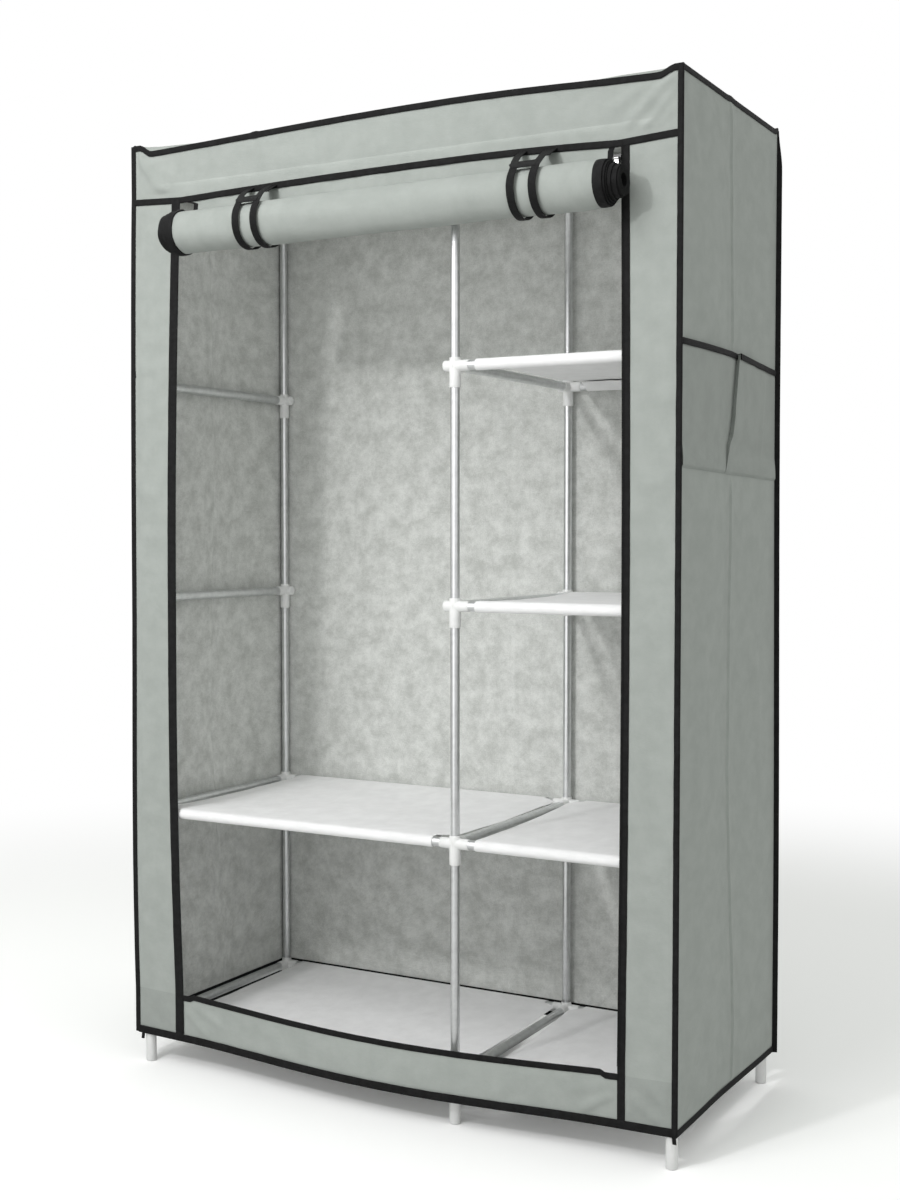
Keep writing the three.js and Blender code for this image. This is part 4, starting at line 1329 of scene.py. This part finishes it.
tapePiece("binding_top", topEdges)
tapePiece("binding_corners", cornerEdges)
tapePiece("binding_hem", hemEdges, thick=0.0006)
tapePiece("binding_header", headerSeam)
tapePiece("binding_bottom_band", bandSeam)
tapePiece("binding_tails", hemTails)
tapePiece("inner_seam_tapes", innerSeams, thick=0.0003)
for side, name in sideNames.items():
    tapePiece(f"zip_tape_{name}", zipTapeStrip(side))
    tapePiece(f"zip_teeth_{name}", zipTeeth(side))
    tapePiece(f"pocket_binding_{name}", pocketEdge(side))
print("tapes sewn")

# Rolled door: one cloth wound inwards, its taped ends drawn out like a telescope
roll = {
    "radius": 0.0405,
    "core": 0.0125,
    "turns": 9.5,
    "steps": 32,
    "height": 1.5755,
    "left": -0.4095,
    "right": 0.4495,
    "drawnRight": 0.0235,
    "drawnLeft": 0.0225,
    "tape": 0.016,
    "tapeThick": 0.002,
    "cloth": 0.001,
}
rollY = rollHigh.y - roll["radius"] + 0.0001
rollZ = roll["height"]


def rollPoint(turn, x, lift=0.0):
    angle = -2 * math.pi * turn
    share = turn / roll["turns"]
    radius = mix(roll["radius"], roll["core"], share) * (1 - 0.05 * smooth(x, 0.4, 0.45))
    slack = 0.002 * ripple(x * 6, math.cos(angle) * 1.3, math.sin(angle) * 1.3)
    fine = 0.0006 * ripple(x * 24, math.cos(angle) * 3, math.sin(angle) * 3)
    radius += (slack + fine - 0.0008) * (1 - 0.5 * share) + lift
    flatten = 1 - 0.02 * math.sin(angle)
    y = rollY - 0.003 * smooth(x, 0.39, 0.44) + radius * math.cos(angle)
    return (x, y, rollZ + radius * flatten * math.sin(angle))


# Where each turn ends: the inner turns are drawn out at both ends
def rollEnds(turn):
    share = turn / roll["turns"]
    left = roll["left"] - roll["drawnLeft"] * smooth(share, 0.02, 0.34)
    right = roll["right"] + 0.25 * roll["drawnRight"] * smooth(share, 0.02, 0.25)
    right += 0.75 * roll["drawnRight"] * smooth(share, 0.25, 0.55)
    return left, right


def rollLength():
    return math.pi * (roll["radius"] + roll["core"]) * roll["turns"]


def addRoll():
    rows = round(roll["turns"] * roll["steps"])

    def spread(u):
        return 0.5 - 0.5 * math.cos(math.pi * u) if 0 < u < 1 else u

    def place(u, v):
        turn = v * roll["turns"]
        left, right = rollEnds(turn)
        x = mix(left + 0.002, right - 0.002, mix(u, spread(u), 0.4))
        return rollPoint(turn, x)

    shape = Shape()
    shape.grid(60, rows, place, (roll["right"] - roll["left"], rollLength()))
    return shape.piece("rolled_door", [coverCloth, coverCloth], body="door", nodes=("door_roll",),
                       slot="cover_cloth", thick=roll["cloth"], sharp=70)


def addRollTape(side):
    rows = round(roll["turns"] * roll["steps"])

    def place(u, v):
        turn = v * roll["turns"]
        ends = rollEnds(turn)
        edge = ends[0] if side < 0 else ends[1]
        x = edge - side * roll["tape"] * (1 - u)
        lift = 0.0007 * math.sin(math.pi * min(max(u, 0.02), 0.98)) ** 0.4 + 0.0001
        return rollPoint(turn, x, lift)

    shape = Shape()
    shape.grid(4, rows, place, (roll["tape"], rollLength()))
    name = sideNames[side]
    return shape.piece(f"door_edge_tape_{name}", [blackTape], body="door", nodes=("door_roll",),
                       slot="seam_tape", thick=roll["tapeThick"], sharp=70)


rolledDoor = addRoll()
rollTapes = [addRollTape(-1), addRollTape(1)]
print("door rolled")

# The door's cloth between the header seam and the roll
curtain = {
    "half": 0.4375,
    "lowLeft": -0.4095,
    "lowRight": 0.4335,
    "hang": 0.012,
    "tape": 0.0095,
    "cloth": 0.0009,
    "wrinkle": 0.0022,
    "tapeThick": 0.0008,
    "drop": 0.066,
}


def curtainPlace(x, v, lift=0.0):
    top = headerZ(x) - 0.0003
    bottom = rollZ + 0.0003
    z = mix(bottom, top, v)
    bottomY = rollY + roll["radius"] - curtain["cloth"]
    bend = smooth(z, bottom + 0.01, top - 0.006)
    y = mix(bottomY, frontY + 0.0002, bend)
    wave = curtain["wrinkle"] * ripple(x * 16, z * 22, 5) + 0.0012 * ripple(x * 50, z * 30, 8)
    middle = smooth(v, 0.02, 0.25) * (1 - smooth(v, 0.8, 0.99))
    return y - middle * wave - lift, z


# The cloth is narrower where it passes the zip sliders
def curtainSpread(v):
    return smooth(v, 0.8, 0.93)


def addCurtain():
    def place(u, v):
        topX = mix(-curtain["half"], curtain["half"], u)
        x = mix(mix(curtain["lowLeft"], curtain["lowRight"], u), topX, curtainSpread(v))
        y, z = curtainPlace(x, v)
        return (x, y, z)

    shape = Shape()
    shape.grid(120, 26, place, (2 * curtain["half"], headerLevel - rollZ))
    return shape.piece("door_top_cloth", [coverCloth, liningCloth], body=None, nodes=("door_curtain",),
                       slot="cover_cloth", thick=curtain["cloth"])


def addCurtainTape(side):
    def place(u, v):
        topX = side * (curtain["half"] - curtain["tape"] * u)
        lowX = curtain["lowLeft" if side < 0 else "lowRight"] - side * curtain["tape"] * u
        x = mix(lowX, topX, curtainSpread(v))
        y, z = curtainPlace(x, v, 0.001)
        return (x, y, z)

    shape = Shape()
    shape.grid(4, 26, place, (curtain["tape"], headerLevel - rollZ))
    name = sideNames[side]
    return shape.piece(f"door_top_tape_{name}", [blackTape], body=None, nodes=("door_curtain",),
                       slot="seam_tape", thick=curtain["tapeThick"], flip=side > 0)


topCloth = addCurtain()
topTapes = [addCurtainTape(-1), addCurtainTape(1)]
for made in [topCloth, *topTapes]:
    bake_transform(made)

# Straps: two pairs hold the roll up, each joined by a short cross tape
strap = {
    "width": 0.0135,
    "pitch": 0.039,
    "thick": 0.0012,
    "lift": 0.0006,
    "rise": 0.018,
    "crossOnRoll": 0.011,
    "crossAbove": 0.018,
    "steps": 40,
    "lean": {"left": (0.029, 0.025), "right": (0.02, 0.012)},
    "shift": {"left": 0.0005, "right": 0.0042},
    "tail": (0.009, 0.036),
}
strapRadius = roll["radius"] + strap["lift"] + strap["thick"]


def tangentAngle(y, z, turn):
    return math.atan2(z, y) + turn * math.acos(strapRadius / math.hypot(y, z))


def strapPath(x):
    frontStart = (frontY - 0.0008 - rollY, headerZ(x) - 0.005 - rollZ)
    rearBend = (frontY + 0.005 - rollY, headerZ(x) - curtain["hang"] - rollZ)
    rearEnd = (rearBend[0], headerZ(x) + strap["rise"] - rollZ)
    start = tangentAngle(*frontStart, 1)
    stop = tangentAngle(*rearBend, -1) + 2 * math.pi
    points = [(frontStart, start)]
    for share in (0.35, 0.7):
        y = mix(frontStart[0], strapRadius * math.cos(start), share)
        z = mix(frontStart[1], strapRadius * math.sin(start), share)
        points.append(((y, z), start))
    for step in range(strap["steps"] + 1):
        angle = mix(start, stop, step / strap["steps"])
        points.append(((strapRadius * math.cos(angle), strapRadius * math.sin(angle)), angle))
    points.append((rearBend, stop))
    points.append((rearEnd, 2 * math.pi))
    return points


# Towards the seam both legs lean to the left
def strapSway(name, share, z):
    outer, inner = strap["lean"][name]
    return -mix(outer, inner, share) * smooth(z, 0.026, 0.064)


def addStrap(name):
    shape = Shape()
    middle = middleOf(f"strap_{name}", 0) + strap["shift"][name]
    for share in (0, 1):
        x = middle + (share - 0.5) * strap["pitch"]
        path = strapPath(x)

        def place(u, v, x=x, path=path, share=share):
            (y, z), angle = path[round(v * (len(path) - 1))]
            out = strap["thick"] + 0.0002 * math.sin(math.pi * u)
            sway = 0.0008 * ripple(v * 6, x * 10) + strapSway(name, share, z)
            return (x + (u - 0.5) * strap["width"] + sway, rollY + y + out * math.cos(angle),
                    rollZ + z + out * math.sin(angle))
        shape.grid(4, len(path) - 1, place, (strap["width"], 0.33))
    seam, start = strapPath(middle)[0]
    leave = (strapRadius * math.cos(start), strapRadius * math.sin(start))
    run = math.dist(seam, leave)
    deep = strap["crossOnRoll"] + strap["crossAbove"]

    # The cross tape lies over both legs where they leave the roll, with a rounded end on the left
    def cross(u, v):
        length = strap["pitch"] + 0.6 * strap["width"]
        along = u * length
        rounded = math.sqrt(max(1 - max(1 - along / (0.35 * deep), 0) ** 2, 0.02))
        down = strap["crossOnRoll"] - deep * (0.5 + (v - 0.5) * rounded)
        angle = start + max(down, 0) / strapRadius
        y, z = strapRadius * math.cos(angle), strapRadius * math.sin(angle)
        if down < 0:
            y, z = mix(leave[0], seam[0], -down / run), mix(leave[1], seam[1], -down / run)
        out = 2 * strap["thick"] + 0.0006
        x = middle - 0.5 * (strap["pitch"] + strap["width"]) - 0.002 + along + strapSway(name, u, z)
        return (x, rollY + y + out * math.cos(angle), rollZ + z + out * math.sin(angle))
    shape.grid(24, 8, cross, (strap["pitch"], deep))

    # A short end of the right leg is left beside it, below the seam
    def tail(u, v):
        wide, long = strap["tail"]
        y, z = mix(seam[0], leave[0], v * long / run), mix(seam[1], leave[1], v * long / run)
        x = middle + 0.5 * (strap["pitch"] + strap["width"]) - 0.001 + strapSway(name, 1, z)
        out = strap["thick"] - 0.0004
        return (x + u * wide, rollY + y + out * math.cos(start), rollZ + z + out * math.sin(start))
    shape.grid(3, 4, tail, strap["tail"])
    made = shape.piece(f"roll_strap_{name}", [blackTape], nodes=(f"strap_{name}",), slot="seam_tape",
                       thick=strap["thick"], sharp=70)
    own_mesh(made)


addStrap("left")
addStrap("right")
print("straps tied")

# Zip sliders and pull tabs keep their built shapes: black lacquer and plain nickel
for side in ("left", "right"):
    for node, coat in ((f"zip_slider_{side}", lacquer), (f"pull_tab_{side}", nickel)):
        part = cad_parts[node]
        part.data.materials.clear()
        part.data.materials.append(coat)


# Floor, light and background
studio = {
    "ambientLow": 0.45,
    "ambientHigh": 0.96,
    "ambientFrom": (0.8, 0.48, -0.36),
    "ambientTint": (0.985, 1.0, 0.975),
    "keyPower": 20,
    "keyPlace": (-0.49, -2.66, 2.3),
    "keySize": 0.18,
    "fillPower": 36,
    "fillPlace": (-0.5, -2.4, 3.1),
    "fillSize": 1.6,
    "lowPower": 14,
    "lowPlace": (-0.4, -3.4, 1.0),
    "lowSize": 2.4,
    "insidePower": 0.6,
    "insideSize": (1.0, 0.4),
    "insideDrop": 0.07,
    "floorColour": (0.66, 0.66, 0.655),
    "floorSeen": 1.19,
    "fadeFrom": 1.6,
    "fadeTo": 3.4,
}


def addLamp(name, place, target, power, size, deep=None):
    data = bpy.data.lights.new(name, "AREA")
    data.energy = power
    data.size = size
    if deep:
        data.shape = "RECTANGLE"
        data.size_y = deep
    lamp = bpy.data.objects.new(name, data)
    lamp.location = place
    lamp.rotation_euler = (Vector(target) - Vector(place)).to_track_quat("-Z", "Y").to_euler()
    scene.collection.objects.link(lamp)
    return lamp


# The thin cloth lets light through, so a weak lamp under the top lights the inside
def addInsideLamp():
    z = builtTop - studio["insideDrop"]
    wide, deep = studio["insideSize"]
    lamp = addLamp("inside", (0, 0, z), (0, 0, 0), studio["insidePower"], wide, deep)
    lamp.rotation_euler = (0, 0, 0)
    lamp.visible_camera = False


def addFloor():
    shape = Shape()
    shape.grid(2, 2, lambda u, v: (mix(-20, 20, u), mix(-8, 30, v), 0), (40, 38))
    floor = shape.piece("floor", [floorPaint()], body=None)


# Seen by the camera, the floor keeps the shadow near the wardrobe and turns plain white further off
def floorPaint():
    material = bpy.data.materials.new("floor_paint")
    material.use_nodes = True
    nodes, links = material.node_tree.nodes, material.node_tree.links
    nodes.remove(nodes["Principled BSDF"])

    def diffuse(colour):
        node = nodes.new("ShaderNodeBsdfDiffuse")
        node.inputs["Color"].default_value = (*colour, 1)
        return node.outputs["BSDF"]

    def blend(share, first, second):
        node = nodes.new("ShaderNodeMixShader")
        links.new(share, node.inputs[0])
        links.new(first, node.inputs[1])
        links.new(second, node.inputs[2])
        return node.outputs["Shader"]

    white = nodes.new("ShaderNodeEmission")
    place = nodes.new("ShaderNodeNewGeometry")
    distance = nodes.new("ShaderNodeVectorMath")
    distance.operation = "LENGTH"
    links.new(place.outputs["Position"], distance.inputs[0])
    far = nodes.new("ShaderNodeMapRange")
    far.interpolation_type = "SMOOTHSTEP"
    far.inputs["From Min"].default_value = studio["fadeFrom"]
    far.inputs["From Max"].default_value = studio["fadeTo"]
    links.new(distance.outputs["Value"], far.inputs["Value"])
    rays = nodes.new("ShaderNodeLightPath")
    seen = blend(far.outputs["Result"], diffuse([studio["floorSeen"]] * 3), white.outputs["Emission"])
    whole = blend(rays.outputs["Is Camera Ray"], diffuse(studio["floorColour"]), seen)
    links.new(whole, nodes["Material Output"].inputs["Surface"])
    return material


def addWorld():
    world = bpy.data.worlds.new("studio")
    world.use_nodes = True
    scene.world = world
    nodes, links = world.node_tree.nodes, world.node_tree.links
    light = nodes["Background"]
    light.inputs["Color"].default_value = (*studio["ambientTint"], 1)
    way = nodes.new("ShaderNodeTexCoord")
    facing = nodes.new("ShaderNodeVectorMath")
    facing.operation = "DOT_PRODUCT"
    facing.inputs[1].default_value = studio["ambientFrom"]
    links.new(way.outputs["Generated"], facing.inputs[0])
    strength = nodes.new("ShaderNodeMapRange")
    strength.inputs["From Min"].default_value = -1
    strength.inputs["To Min"].default_value = studio["ambientLow"]
    strength.inputs["To Max"].default_value = studio["ambientHigh"]
    links.new(facing.outputs["Value"], strength.inputs["Value"])
    links.new(strength.outputs["Result"], light.inputs["Strength"])
    plain = nodes.new("ShaderNodeBackground")
    plain.inputs["Color"].default_value = (1, 1, 1, 1)
    rays = nodes.new("ShaderNodeLightPath")
    either = nodes.new("ShaderNodeMath")
    either.operation = "MAXIMUM"
    links.new(rays.outputs["Is Camera Ray"], either.inputs[0])
    links.new(rays.outputs["Is Glossy Ray"], either.inputs[1])
    choose = nodes.new("ShaderNodeMixShader")
    links.new(either.outputs["Value"], choose.inputs[0])
    links.new(light.outputs["Background"], choose.inputs[1])
    links.new(plain.outputs["Background"], choose.inputs[2])
    links.new(choose.outputs["Shader"], nodes["World Output"].inputs["Surface"])


addWorld()
addFloor()
addLamp("key", studio["keyPlace"], (0, frontY, 0.95), studio["keyPower"], studio["keySize"])
addLamp("fill", studio["fillPlace"], (0, frontY, 0.9), studio["fillPower"], studio["fillSize"])
addLamp("low_fill", studio["lowPlace"], (0, frontY, 0.9), studio["lowPower"], studio["lowSize"])
addInsideLamp()
scene.view_settings.view_transform = "Standard"
print("studio lit")
